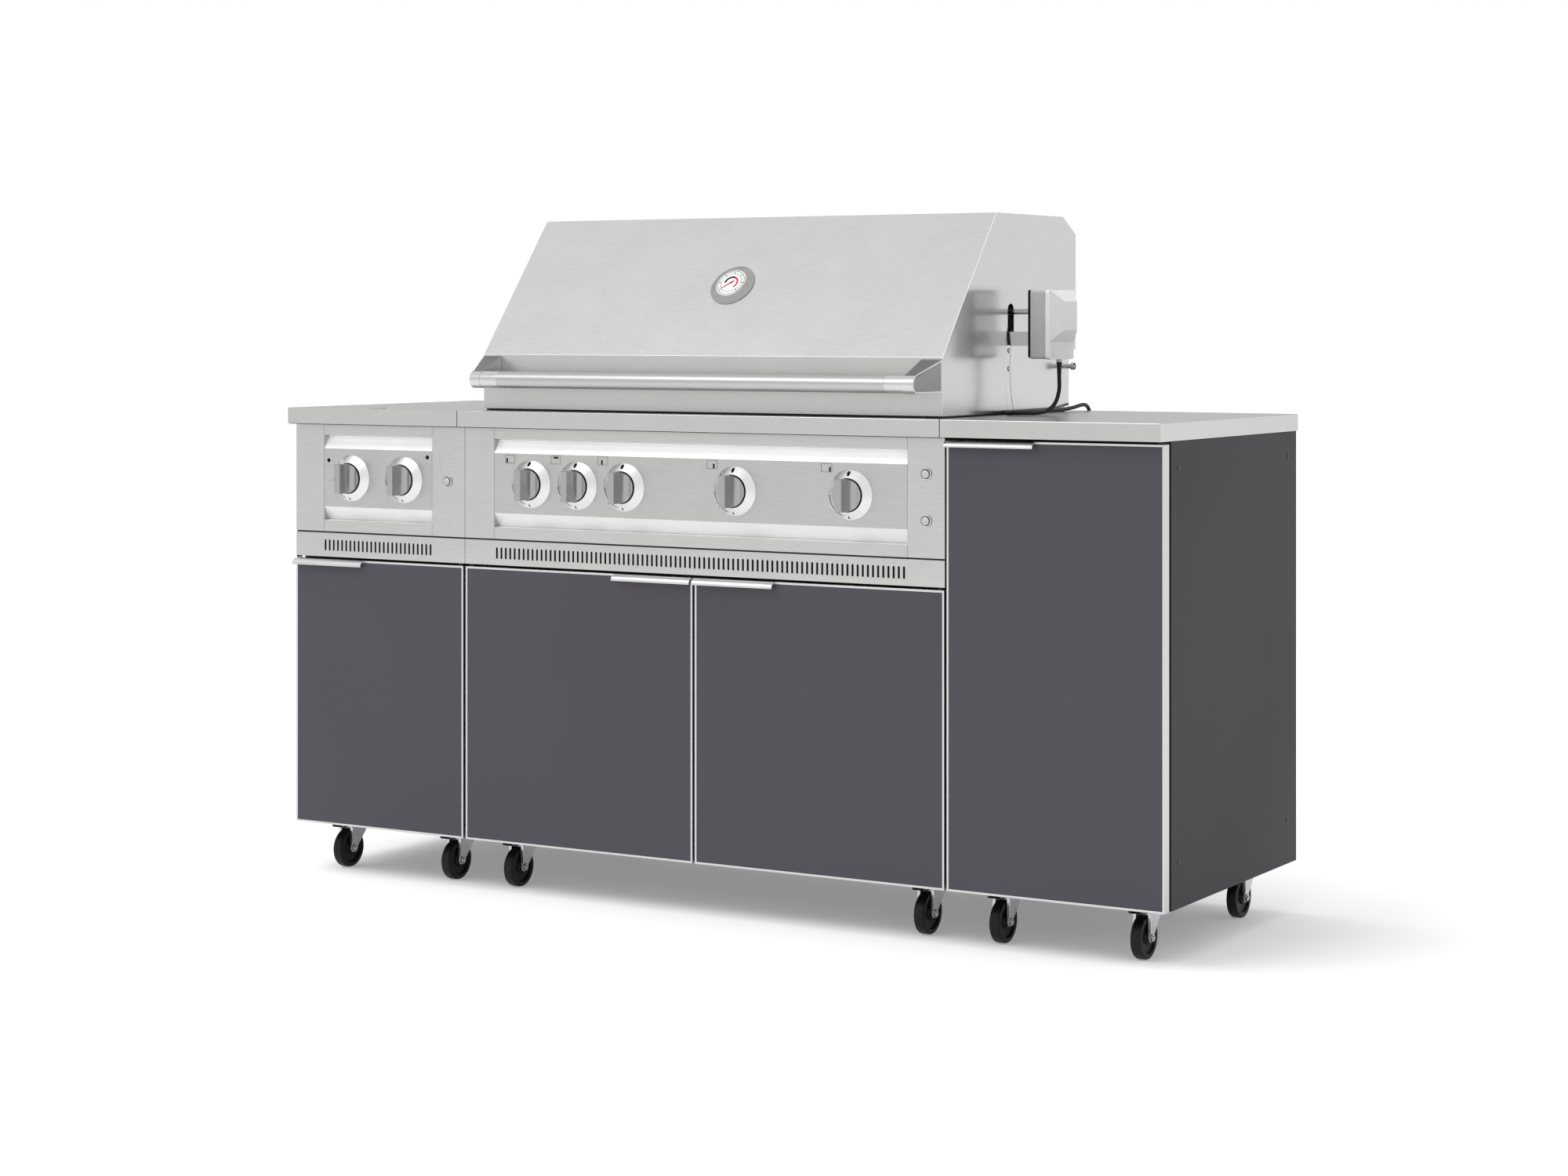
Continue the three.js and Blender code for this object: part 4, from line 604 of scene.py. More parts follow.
# Bezels round the knobs: a cone with prints on it
BEZEL_BORE, BEZEL_TOP = 30.5, 11.6
BEZEL_SLOPE = 10.6 / 14.5


def bezel(name, x):
    profile = [(BEZEL_BORE, -1), (45, -1), (45, 0.9), (44.6, 1.3), (31.2, 11.1), (BEZEL_BORE, BEZEL_TOP)]
    kit = Kit().add(turned(profile, (x, FASCIA, KNOB_Z), OUT, 96, closed=True), BEZEL_METAL)
    kit.finish(name, "island", "fascia_steel", bevel=0.25)


def marks_on_cone(x, outline):
    """A print on the bezel's cone: outline points are (angle from 12 o'clock clockwise in degrees, radius)."""
    rings = []
    for lift in (0.02, 0.16):
        ring = []
        for degrees, radius in outline:
            angle = math.radians(degrees)
            height = BEZEL_TOP - (radius - BEZEL_BORE) * BEZEL_SLOPE + lift
            ring.append((x + radius * math.sin(angle), FASCIA - height, KNOB_Z + radius * math.cos(angle)))
        rings.append(ring)
    return loft(*rings)


def around(angle, radius, outline):
    """An outline in millimetres set on the cone at an angle and a radius."""
    return [(angle + math.degrees(u / radius), radius + v) for u, v in outline]


def bezel_marks(name, x):
    dot = [(3.2 * u, 4.5 * v) for u, v in circle((0, 0), 1, 20)]
    spark = [spots((0, 0), (2.2, 0.8)[i % 2], (i * math.pi / 4,))[0] for i in range(8)]
    flame = [(0, 2.2), (0.9, 0.6), (1.1, -0.6), (0.6, -1.6), (-0.6, -1.6), (-1.1, -0.6), (-0.5, 0.5)]
    marks = [around(0, 38, dot)] if "center" in name else []
    marks.append(around(-42, 40, spark))
    # A curved wedge from 9 o'clock down, in short pieces
    steps, middle = 24, 39
    ends = [(-92 - 74 * n / steps, (1.9 * (1 - n / steps) + 0.8) / 2) for n in range(steps + 1)]
    for (low, wide), (high, narrow) in zip(ends, ends[1:]):
        corners = (low, -wide), (low, wide), (high, narrow), (high, -narrow)
        marks.append([(angle, middle + out) for angle, out in corners])
    marks.append(around(180, 40, [(1.5 * u, -1.5 * v) for u, v in flame]))
    kit = Kit()
    for outline in marks:
        kit.add(marks_on_cone(x, outline), INK)
    kit.finish(name, "island", "fascia_steel", bevel=0)


# Control panels
def control_panel(side):
    start, end, section_start, section_end = PANELS[side]
    node = "control_panel_" + side
    groove, lip, drop, rise, seam = FASCIA + 15, 22, 1.5, 25.5, 0.16
    high_lip, low_lip = PANEL_HIGH - lip, PANEL_LOW + lip
    high_groove, low_groove = high_lip - drop, low_lip + drop
    field_top, field_bottom = high_groove - rise, low_groove + rise
    crest = PANEL_HIGH - 0.9
    front, flange = (FASCIA, FASCIA + SHEET), (FASCIA + SHEET, FLANGE_REAR)
    span = (section_start + seam, section_end - seam)
    folds = [
        ([(FLANGE_REAR, crest), (FASCIA, crest), (FASCIA, high_lip)], SHEET, FASCIA_STEEL),
        ([(FASCIA, low_lip), (FASCIA, PANEL_LOW), (FLANGE_REAR, PANEL_LOW)], SHEET, FASCIA_STEEL),
        # The groove faces take the near-white painted reflection
        ([(FASCIA + 0.2, high_lip), (groove, high_groove)], 1.4, COVE_HIGH_REFLECTION),
        ([(groove, low_groove), (FASCIA + 0.2, low_lip)], 1.4, COVE_LOW_REFLECTION),
        ([(groove, high_groove), (FASCIA + 0.1, field_top)], 1.6, COVE_HIGH_REFLECTION),
        ([(FASCIA + 0.1, field_bottom), (groove, low_groove)], 1.6, COVE_LOW_REFLECTION),
    ]
    kit = Kit()
    for line, thickness, material in folds:
        kit.add(folded(line, thickness, span, along_x), material)
    kit.add(block(span, front, (field_bottom, field_top)), FIELD_STEEL)
    buttons = [(x, z) for x, z in BUTTONS.values() if start < x < end]
    for x0, x1 in ((start, section_start - seam), (section_end + seam, end)):
        holes = [circle((x, z), 8.0, 40) for x, z in buttons if x0 < x < x1]
        kit.add(plate(rectangle((x0, x1), (PANEL_LOW, crest)), holes, front, along_y), FASCIA_STEEL)
        for low in (PANEL_LOW, crest - SHEET):
            kit.add(block((x0, x1), flange, (low, low + SHEET)), FASCIA_STEEL)
    for x in (start, section_start + seam - SHEET, section_end - seam, end - SHEET):
        kit.add(block((x, x + SHEET), flange, (PANEL_LOW + SHEET, crest - SHEET)), FASCIA_STEEL)
    ring = [(8.4, -13), (9.4, -13), (9.4, 0), (11.5, 0), (11.5, 2.2), (10.9, 3), (9.2, 3), (8.4, 2.2)]
    gap = [(7.7, -2), (8.5, -2), (8.5, 0.6), (7.7, 0.6)]
    for x, z in buttons:
        for profile, material in ((ring, BUTTON_METAL), (gap, GASKET_AND_SHADE)):
            kit.add(turned(profile, (x, FASCIA, z), OUT, 48, closed=True), material)
    # Black strips in the gaps under and over the panel: painted shade in the gap above the vent panel and under
    # the worktop's hem
    kit.add(block((start, end), (FASCIA + 2.5, FASCIA + 5), (VENT_CREST, PANEL_LOW)), GASKET_AND_SHADE)
    kit.add(block((start, end), (1.8, FASCIA + 20), (crest, crest + 1)), GASKET_AND_SHADE)
    kit.finish(node + "_sheet", "island", "fascia_steel", (node,), bevel=0.5)
    for name, x in KNOBS.items():
        if start < x < end:
            bezel(name.replace("knob", "bezel"), x)
            bezel_marks(name.replace("knob", "bezel_marks"), x)
            stem = Kit().add(rod(8, (x, FASCIA, KNOB_Z), OUT, -1, 13), SPIT_STEEL)
            stem.finish(name.replace("knob", "stem"), "island", "fascia_steel", bevel=0.3)


for side in PANELS:
    control_panel(side)

# Prints beside the knobs: which burner each one feeds, and a dot beside each knob on the left
PRINT = (FASCIA - 0.12, FASCIA + 0.1)
LINE, FRAME_WIDE, FRAME_HIGH = 0.7, 22.4, 15.6
UPRIGHT, LEVEL = (3.6, 8.51), (10.8, 3.45)
BURNER_MARKS = [
    (522.8, 823.5, -7.0, -2.6, UPRIGHT),
    (627.8, 824.0, 0.4, 4.4, LEVEL),
    (734.4, 824.8, -1.8, -2.6, UPRIGHT),
    (974.5, 824.0, 3.6, -2.6, UPRIGHT),
    (1214.8, 824.0, 7.0, -2.6, UPRIGHT),
]


def print_on_field(x, z, width, height):
    return block((x - width / 2, x + width / 2), PRINT, (z - height / 2, z + height / 2))


kit = Kit()
for x, z, dx, dz, mark in BURNER_MARKS:
    for side in (-1, 1):
        kit.add(print_on_field(x + side * 10.8, z, LINE, FRAME_HIGH), GREY_INK)
        kit.add(print_on_field(x, z + side * 7.4, FRAME_WIDE, LINE), GREY_INK)
    kit.add(print_on_field(x + dx, z + dz, *mark), INK)
for spot in ((83.4, 811.0), (326.2, 822.0)):
    kit.add(prism(circle(spot, 4.1, 28), PRINT, along_y), INK)
kit.finish("burner_prints", "island", "fascia_steel", bevel=0)


# Vent panels
def vent_panel(side):
    start, end, section_start, section_end = PANELS[side]
    pitch, width, height, thickness = 10.35, 4.2, 22.0, 1.6
    count = int((section_end - section_start - width) // pitch) + 1
    middle = (section_start + section_end) / 2
    z, run = (VENT_LOW + VENT_HIGH) / 2, (height - width) / 2
    slots = []
    for i in range(count):
        x = middle + (i - (count - 1) / 2) * pitch
        upper = arc((x, z + run), width / 2, 0, math.pi, 6)
        slots.append(upper + arc((x, z - run), width / 2, math.pi, FULL_TURN, 6))
    flange = (FASCIA + thickness, FLANGE_REAR)
    outline = rectangle((start, end), (VENT_LOW, VENT_CREST))
    kit = Kit()
    kit.add(block((start + 3, end - 3), (FASCIA + 7, FASCIA + 8), (VENT_LOW + 3, VENT_HIGH - 3)), GASKET_AND_SHADE)
    kit.add(plate(outline, slots, (FASCIA, FASCIA + thickness), along_y), FASCIA_STEEL)
    for low in (VENT_LOW, VENT_CREST - SHEET):
        kit.add(block((start, end), flange, (low, low + SHEET)), FASCIA_STEEL)
    for x in (start, end - SHEET):
        kit.add(block((x, x + SHEET), flange, (VENT_LOW + SHEET, VENT_HIGH - SHEET)), FASCIA_STEEL)
    node = "vent_panel_" + side
    kit.finish(node + "_sheet", "island", "fascia_steel", (node,), bevel=0.25, segments=1)


for side in PANELS:
    vent_panel(side)


# Knobs: a turned cap cut away in a smooth hollow on each side of its grip
def common(first, second):
    """What two shapes share, as a shape."""
    tools = [add_object("tool", Kit().add(shape, KNOB_METAL).data("tool")) for shape in (first, second)]
    change = tools[0].modifiers.new("cut", "BOOLEAN")
    change.operation = "INTERSECT"
    change.solver = "EXACT"
    change.object = tools[1]
    mesh = evaluated(tools[0])
    points = [tuple(Vector(p.co) * MM + CORNER) for p in mesh.vertices]
    faces = [tuple(face.vertices) for face in mesh.polygons]
    for tool in tools:
        data = tool.data
        bpy.data.objects.remove(tool)
        bpy.data.meshes.remove(data)
    bpy.data.meshes.remove(mesh)
    return [(points, faces)]


def knob_shape():
    radius, height, rim, grip, over, nose = 29.2, 44.8, 16.5, 6.8, 5, 2
    profile = [(0, 1), (radius - 0.8, 1), (radius, 1.8), (radius, height - nose)]
    profile += spots((radius - nose, height - nose), nose, (0.5, 1.0, math.pi / 2)) + [(0, height)]
    cap = turned(profile, (0, FASCIA, 0), OUT, 96)
    side = [(grip - 0.8, height), (grip - 0.2, height - 0.3), (grip, height - 1)]
    for i in range(1, 15):
        share = i / 14
        side.append((grip + (radius - 2 - grip) * share, rim + (height - 1.5 - rim) * (1 - share) ** 4.4))
    side += [(radius - 0.6, rim - 0.6), (radius, rim - 2), (radius + over, rim - 2), (radius + over, -2)]
    outline = side + [(-u, v) for u, v in reversed(side)]
    return common(cap, prism([(u, FASCIA - v) for u, v in outline], (-radius - over, radius + over), along_z))


knob = knob_shape()
# Faces of the grip in front of this plane get a finish of their own
FACE_Y = place(0, FASCIA - 42.6, 0).y
# A black band round the knob's side under its rim: painted shade in the gap between knob and bezel
SHADE_SLEEVE = [(28.9, 1.5), (29.6, 1.5), (29.6, 14.2), (28.9, 14.2)]
for name, x in KNOBS.items():
    kit = Kit()
    kit.add(shifted(knob, x, 0, KNOB_Z), KNOB_METAL, KNOB_FACE, lambda spot: spot.y < FACE_Y)
    kit.add(turned(SHADE_SLEEVE, (x, FASCIA, KNOB_Z), OUT, 64, closed=True), INK)
    kit.finish(name + "_grip", name, "knob_metal", (name,), bevel=0.35, angle=25)

CAP = [(0, -9), (7.5, -9), (7.5, 3.4), (6.9, 4.1), (6.2, 4.5), (5.4, 4.1), (0, 3.7)]
for name, (x, z) in BUTTONS.items():
    kit = Kit().add(turned(CAP, (x, FASCIA, z), OUT, 48), BUTTON_METAL)
    kit.finish(name + "_cap", name, "button_metal", (name,), bevel=0.2)

# Doors: a painted face in a bright frame, with a hooked pull along the top
RIM, RETURN, PULL_LONG, PULL_RADIUS = 4, 24, 171, 12
for name, (start, end, top, side) in DOORS.items():
    outer, inner, back = (
        rectangle((start + margin, end - margin), (DOOR_LOW + margin, top - margin))
        for margin in (0, RIM, RETURN)
    )
    edge, depth = RIM + 0.1, (DOOR_FRONT + 0.6, DOOR_FRONT + 2.6)
    face = block((start + edge, end - edge), depth, (DOOR_LOW + edge, top - edge))
    hook = [(DOOR_FRONT + 2, top)]
    hook += arc((DOOR_FRONT - 1, top - PULL_RADIUS), PULL_RADIUS, math.pi / 2, math.pi, 14)
    span = (start, start + PULL_LONG) if side > 0 else (end - PULL_LONG, end)
    kit = Kit()
    kit.add(plate(outer, [inner], (DOOR_FRONT, DOOR_REAR), along_y), BRIGHT)
    kit.add(face, DOOR_PAINT)
    kit.add(plate(inner, [back], (DOOR_REAR - 2.4, DOOR_REAR - 0.4), along_y), DOOR_PAINT)
    kit.add(folded(hook, 1.8, span, along_x), BRIGHT)
    kit.finish(name + "_leaf", name, "door_paint", (name,), bevel=0.5)


# Hood
def hinge_arc(radius, from_z, to_z, steps=20):
    """Points in front of the hinge on an arc about it, from one height to another."""
    low, high = (math.pi - math.asin((z - HINGE[1]) / radius) for z in (from_z, to_z))
    return arc(HINGE, radius, low, high, steps)


def side_sheet():
    """The side's outline: along the slot's front wall, round end and rear wall, then round the hood."""
    front, rear, top, step = 309.5, 334.5, 1117.0, 1065.0
    outer, inner, skin, lap = 236.07, 214.07, 0.2, 0.1
    radius = (rear - front) / 2
    meet = HINGE[1] + math.sqrt(outer**2 - (HINGE[0] - front) ** 2)
    slot = hinge_arc(outer, HOOD_BOTTOM, meet)
    slot += arc((front + radius, top - radius), radius, math.pi, 0, 20)
    slot += [(rear, step)] + hinge_arc(inner, step, HOOD_BOTTOM)
    back = [(567, 924.8), (567, BACK_LOW), (HOOD_REAR - skin, BACK_LOW), (HOOD_REAR - skin, BACK_HIGH - lap)]
    crest = [(CREST_REAR - lap, HOOD_TOP - skin), (CREST_FRONT + lap, HOOD_TOP - skin)]
    return [(HOOD_FRONT + skin, HOOD_BOTTOM)] + slot + back + crest + [(HOOD_FRONT + skin, SKIRT_TOP)]


shell = [(HOOD_FRONT, HOOD_BOTTOM), (HOOD_FRONT, SKIRT_TOP), (CREST_FRONT, HOOD_TOP)]
shell += [(CREST_REAR, HOOD_TOP), (HOOD_REAR, BACK_HIGH), (HOOD_REAR, BACK_LOW)]
# Faces of the hood in front of this plane, under the slope, are a little darker: painted shade on the upright
# face, which is the same steel as the slope
SKIRT_SHADE_Y = place(0, HOOD_FRONT + 1, 0).y
LIP = (HOOD_FRONT + 1, HOOD_FRONT + 12)
HOOD_FEET = (480.3, 1389.7)
kit = Kit()
span = (HOOD_LEFT + 0.05, HOOD_RIGHT - 0.05)
kit.add(folded(shell, -SHEET, span, along_x), HOOD_STEEL, HOOD_SKIRT_SHADE, lambda spot: spot.y < SKIRT_SHADE_Y)
outline = side_sheet()
for start in (HOOD_LEFT, HOOD_RIGHT - SHEET):
    kit.add(plate(outline, [circle(HINGE, 4.7, 24)], (start, start + SHEET), along_x), HOOD_SIDE)
kit.add(block((HOOD_LEFT + SHEET, HOOD_RIGHT - SHEET), LIP, (HOOD_BOTTOM, HOOD_BOTTOM + SHEET)), HOOD_STEEL)
for x in HOOD_FEET:
    kit.add(block((x - 9, x + 9), LIP, (COUNTER + 0.3, HOOD_BOTTOM + 1)), CORD)
# Near-white beads along the side edges and the fold at the foot of the slope: painted highlights where the
# folds catch the light
highlight_bead = [(HOOD_FRONT, 925), (HOOD_FRONT, SKIRT_TOP), (CREST_FRONT - 0.2, HOOD_TOP - 0.3)]
for span in ((HOOD_LEFT + 0.05, HOOD_LEFT + 0.9), (HOOD_RIGHT - 0.9, HOOD_RIGHT - 0.05)):
    kit.add(folded(highlight_bead, 0.35, span, along_x), EDGE_HIGHLIGHT)
highlight_bead = [(HOOD_FRONT, SKIRT_TOP - 0.4), (HOOD_FRONT, SKIRT_TOP), (HOOD_FRONT + 0.25, SKIRT_TOP + 0.3)]
kit.add(folded(highlight_bead, 0.3, (HOOD_LEFT + 1, HOOD_RIGHT - 1), along_x), EDGE_HIGHLIGHT)
kit.finish("hood_shell", "hood", "hood_steel", ("hood",), bevel=0.7, angle=20)

# Dark seal round the cut-out, under the hood's lower edge: a gasket the hood closes on, black also as painted
# shade in the gap under the hood
kit = Kit()
height = (COUNTER + 0.2, HOOD_BOTTOM - 0.5)
kit.add(block((HOOD_LEFT + 4, HOOD_RIGHT - 4), (60, 62), height), GASKET_AND_SHADE)
for x in (HOOD_LEFT + 4, HOOD_RIGHT - 6):
    kit.add(block((x, x + 2), (62, 560), height), GASKET_AND_SHADE)
kit.finish("hood_seal_painted_shade", "island", "worktop_steel", bevel=0)


def screw_head(kit, spot, axis, diameter, height, material):
    radius = diameter / 2
    dome = [(0, -0.4), (radius, -0.4), (radius, height * 0.25)]
    dome += [(radius * math.cos(a), height * (0.25 + 0.75 * math.sin(a))) for a in (0.5, 1.0)]
    dome += [(radius * 0.35, height), (radius * 0.3, height * 0.55), (0, height * 0.55)]
    kit.add(turned(dome, spot, axis, 32), material)


HOOD_SIDES = ((1, HOOD_RIGHT), (-1, HOOD_LEFT))
COVER_SCREW_Y, COVER_SCREWS = 314, (1031, 998)
kit = Kit()
washer = [(0, -0.2), (4.7, -0.2), (4.7, 0.35), (0, 0.35)]
for side, x in HOOD_SIDES:
    for z in COVER_SCREWS:
        kit.add(turned(washer, (x - side * 0.3, COVER_SCREW_Y, z), (side, 0, 0), 32), DARK_SCREW)
        screw_head(kit, (x, COVER_SCREW_Y, z), (side, 0, 0), 7.4, 1.8, SCREW)
kit.finish("slot_cover_screws", "island", "firebox_steel", bevel=0.1)

kit = Kit()
bolt_head = [(0, 22.8), (7.2, 22.8), (7.2, 27.2), (6.4, 28), (2.4, 28), (1.8, 26.4), (0, 26.4)]
for side, x in HOOD_SIDES:
    kit.add(rod(9.0, (x, *HINGE), (side, 0, 0), -4, 23.2), SCREW)
    kit.add(turned(bolt_head, (x, *HINGE), (side, 0, 0), 48), SCREW)
kit.finish("hinge_bolts", "island", "firebox_steel", bevel=0.3)

# Handle: brackets whose outer side slants in to the tube, and a tube with a knurled grip
NOSE_RADIUS, SLANT, BRACKET_WIDE = 16.5, 20, 42
TUBE_RADIUS, TUBE_IN, GRIP_START, GRIP_END = 15.75, 38, 519.5, 1352.5
BRACKET_LOW, BRACKET_HIGH = (HOOD_FRONT - 0.3, 959.0), (HOOD_FRONT - 0.3, 1018.0)


def tangent(point, side):
    u, v = point[0] - HANDLE[0], point[1] - HANDLE[1]
    return math.atan2(v, u) + side * math.acos(NOSE_RADIUS / math.hypot(u, v))


bracket = [BRACKET_LOW, BRACKET_HIGH]
bracket += arc(HANDLE, NOSE_RADIUS, tangent(BRACKET_HIGH, 1), FULL_TURN + tangent(BRACKET_LOW, -1), 32)
inner, tip = HOOD_LEFT + BRACKET_WIDE, -22
plan = [(HOOD_LEFT, HOOD_FRONT), (HOOD_LEFT + SLANT, HANDLE[0]), (HOOD_LEFT + SLANT, tip)]
plan += [(inner, tip), (inner, HOOD_FRONT)]
left_bracket = common(prism(bracket, (HOOD_LEFT - 1, inner + 1), along_x), prism(plan, (900, 1040), along_z))


def bracket_face():
    """The sunk, grainy face on the slanted outer side of the handle's left bracket."""
    face = []
    for y, z in inset(bracket, 3.2):
        share = (HOOD_FRONT - max(y, HANDLE[0])) / (HOOD_FRONT - HANDLE[0])
        face.append((HOOD_LEFT + SLANT * share, y, z))
    return loft(*([(x + depth, y, z) for x, y, z in face] for depth in (-0.12, 0.5)))


def tube_end(tip, grip):
    """A plain end of the tube, with a fine groove beside the grip."""
    way, low = math.copysign(1, tip - grip), TUBE_RADIUS - 0.6
    profile = [(0, tip), (TUBE_RADIUS, tip), (TUBE_RADIUS, grip + 1.9 * way), (low, grip + 1.6 * way)]
    profile += [(low, grip + 0.3 * way), (TUBE_RADIUS, grip), (0, grip)]
    return turned(profile, (0, *HANDLE), RIGHT)


# Faces of the brackets above this spot and in front of it are dark: painted shade standing in for the dark
# reflection of the hood's slope
SHADE_TOP_SPOT = place(0, HOOD_FRONT - 2, 998)
kit = Kit()
for shape in (left_bracket, mirrored(left_bracket)):
    kit.add(shape, HANDLE_STEEL, HANDLE_TOP_SHADE, lambda spot: spot.z > SHADE_TOP_SPOT.z and spot.y < SHADE_TOP_SPOT.y)
for shape in (bracket_face(), mirrored(bracket_face())):
    kit.add(shape, HANDLE_FACE)
kit.finish("handle_brackets", "hood", "handle_steel", ("hood_handle",), bevel=0.8, segments=3, angle=25)
kit = Kit()
kit.add(tube_end(HOOD_LEFT + TUBE_IN, GRIP_START), HANDLE_STEEL)
kit.add(rod(2 * TUBE_RADIUS, (0, *HANDLE), RIGHT, GRIP_START, GRIP_END, 64), KNURL)
kit.add(tube_end(HOOD_RIGHT - TUBE_IN, GRIP_END), HANDLE_STEEL)
kit.finish("handle_tube", "hood", "handle_steel", bevel=0.2)

# Thermometer, built about its own axis and then set on the middle of the hood's slope
run, rise = CREST_FRONT - HOOD_FRONT, HOOD_TOP - SKIRT_TOP
aim = Vector((0, -rise, run)) / math.hypot(run, rise)
upward = Vector((0, aim.z, -aim.y))
gauge_spot = place(MIDDLE, HOOD_FRONT + run / 2, SKIRT_TOP + rise / 2) + aim * 0.0003
gauge_matrix = Matrix.Translation(gauge_spot) @ Matrix((Vector(RIGHT), upward, aim)).transposed().to_4x4()
GAUGE_AXIS = ((0, 0, 0), UP)
DIAL_TOP, PRINT_LOW, PRINT_HIGH = 8.0, 7.9, 8.1


def gauge_piece(name, shapes, bevel=0.1, stands_for=()):
    kit = Kit()
    for shape, material in shapes:
        kit.add(shifted(shape, *CORNER), material)
    piece = kit.finish(name, "hood", "gauge_metal", stands_for, bevel=bevel)
    piece.matrix_world = gauge_matrix
    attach(piece, "hood")


def ring_sector(inner, outer, start, end, steps, high=PRINT_HIGH):
    """A printed ring or part of one; angles in degrees clockwise from the top."""
    first, last = math.radians(90 - start), math.radians(90 - end)
    outline = arc((0, 0), outer, first, last, steps) + arc((0, 0), inner, last, first, steps)
    return prism(outline, (PRINT_LOW, high), along_z)


rim = [(0, 0), (45, 0), (45, 1.2), (44.5, 1.7), (33.4, 10.3), (32.6, 10.7), (31.4, 10.7), (31.1, 10.2)]
rim += [(31.1, 7.7), (0, 7.7)]
gauge_piece("gauge_bezel", [(turned(rim, *GAUGE_AXIS, 96), GAUGE_METAL)], 0.15, ("thermometer",))
gauge_piece("gauge_probe", [(rod(8, *GAUGE_AXIS, -26, 0.5, 32), SPIT_STEEL)], 0.3)
shapes = [(rod(61.8, *GAUGE_AXIS, 7.6, DIAL_TOP, 64), DIAL)]
for radius in (27.0, 20.5):
    shapes.append((ring_sector(radius, radius + 0.9, 0, 359.9, 72, 8.08), GREY_INK))
for i in range(31):
    angle = -135 + 270 * i / 30
    half, inner, ink = (1.7, 21.8, INK) if i % 5 == 0 else (0.8, 24.0, GREY_INK)
    shapes.append((ring_sector(inner, 26.4, angle - half, angle + half, 2), ink))
shapes.append((ring_sector(10.9, 15.2, -90, 20, 24, 8.12), INK))
shapes.append((ring_sector(11.2, 15.0, 20, 140, 24, 8.12), RED_INK))
needle_angle = math.radians(-128)
along = Vector((math.sin(needle_angle), math.cos(needle_angle)))
across = Vector((along.y, -along.x))
needle = [
    tuple(along * reach + across * half)
    for reach, half in ((20.5, 0.8), (20.5, -0.8), (-7, -1.7), (-7, 1.7))
]
shapes.append((prism(needle, (8.3, 8.6), along_z), RED_INK))
shapes.append((rod(4.2, *GAUGE_AXIS, DIAL_TOP, 9.0, 32), RED_INK))
gauge_piece("gauge_dial", shapes, 0)

# Spit with two forks
FORK_IN, FORK_HALF = 250, 30
PRONG = [(0, 0), (2.5, 0), (2.5, 78), (0, 90)]
kit = Kit()
kit.add(rod(10, (0, *SPIT), RIGHT, HOOD_LEFT - 14, MOTOR_FACE + 9.7, 40), SPIT_STEEL)
for x, inward in ((HOOD_LEFT + FORK_IN, 1), (HOOD_RIGHT - FORK_IN, -1)):
    kit.add(rod(24, (x, *SPIT), RIGHT, -10, 10, 40), SPIT_STEEL)
    kit.add(rod(5, (x, *SPIT), REARWARD, -FORK_HALF, FORK_HALF, 20), SPIT_STEEL)
    for side in (-FORK_HALF, FORK_HALF):
        kit.add(turned(PRONG, (x, SPIT[0] + side, SPIT[1]), (inward, 0, 0), 20), SPIT_STEEL)
kit.finish("spit_shaft", "spit_rod", "spit_steel", ("spit_rod",), bevel=0.5)

# Motor, in layers outwards from the hood: wider at the front and rear, at the foot and at the head by so much,
# with corners of a radius, from and to a distance from the motor's face
MOTOR_FRONT, MOTOR_REAR, MOTOR_LOW, MOTOR_HIGH = 279.0, 375.0, 1016.6, 1141.0
MOTOR_LAYERS = [
    (1, -2, 0, 4, 0.5, 4.5, INK),
    (-2, -5, -3, 3, 0, 0.8, BACK_PLATE),
    # The body's darker material is partly its own tone and partly painted shade
    (0, 0, 0, 5, 4.5, 36, MOTOR_CASE_TONE_AND_SHADE),
    (3, 1, 0, 6, 36, 44, SHELL),
]
kit = Kit()
for wider, foot, head, corner, start, end, material in MOTOR_LAYERS:
    outline = rounded((MOTOR_FRONT - wider, MOTOR_REAR + wider), (MOTOR_LOW - foot, MOTOR_HIGH + head), corner)
    kit.add(prism(outline, (MOTOR_FACE + start, MOTOR_FACE + end), along_x), material)
rings = []
for height, margin, slope in ((43.5, -3, 0), (44.5, -3, 0), (62, 21, 20.5)):
    y = (MOTOR_FRONT + margin, MOTOR_REAR - margin)
    pad = rectangle(y, (MOTOR_LOW + 31 + slope, MOTOR_HIGH - slope))
    rings.append([(MOTOR_FACE + height, y, z) for y, z in pad])
kit.add(loft(*rings), SHELL)
kit.finish("motor_housing", "island", "motor_shell", ("rotisserie_motor",), bevel=1.6, segments=4, angle=20)

# Its switch, a rocker in a low frame, and the cord's gland
GLAND = (1514.7, 352.5, 0)
SWITCH = [
    ((290.5, 313.0), (1023.0, 1039.0), 1.5, 43.8, 44.6),
    ((292.0, 301.5), (1024.3, 1037.7), 1.0, 44.2, 45.8),
    ((302.0, 311.5), (1024.3, 1037.7), 1.0, 44.2, 45.0),
]
kit = Kit()
for y, z, corner, start, end in SWITCH:
    kit.add(prism(rounded(y, z, corner), (MOTOR_FACE + start, MOTOR_FACE + end), along_x), SHELL)
gland = [(0, 1018), (5.5, 1018), (5.5, 1012.2), (4.9, 1010.6), (0, 1010.6)]
kit.add(turned(gland, GLAND, UP, 40), SHELL)
kit.finish("motor_switch_and_gland", "island", "motor_shell", bevel=0.35)

# Casters, about their kingpin; the axle trails behind it
AXLE = (-27.0, 37.5)


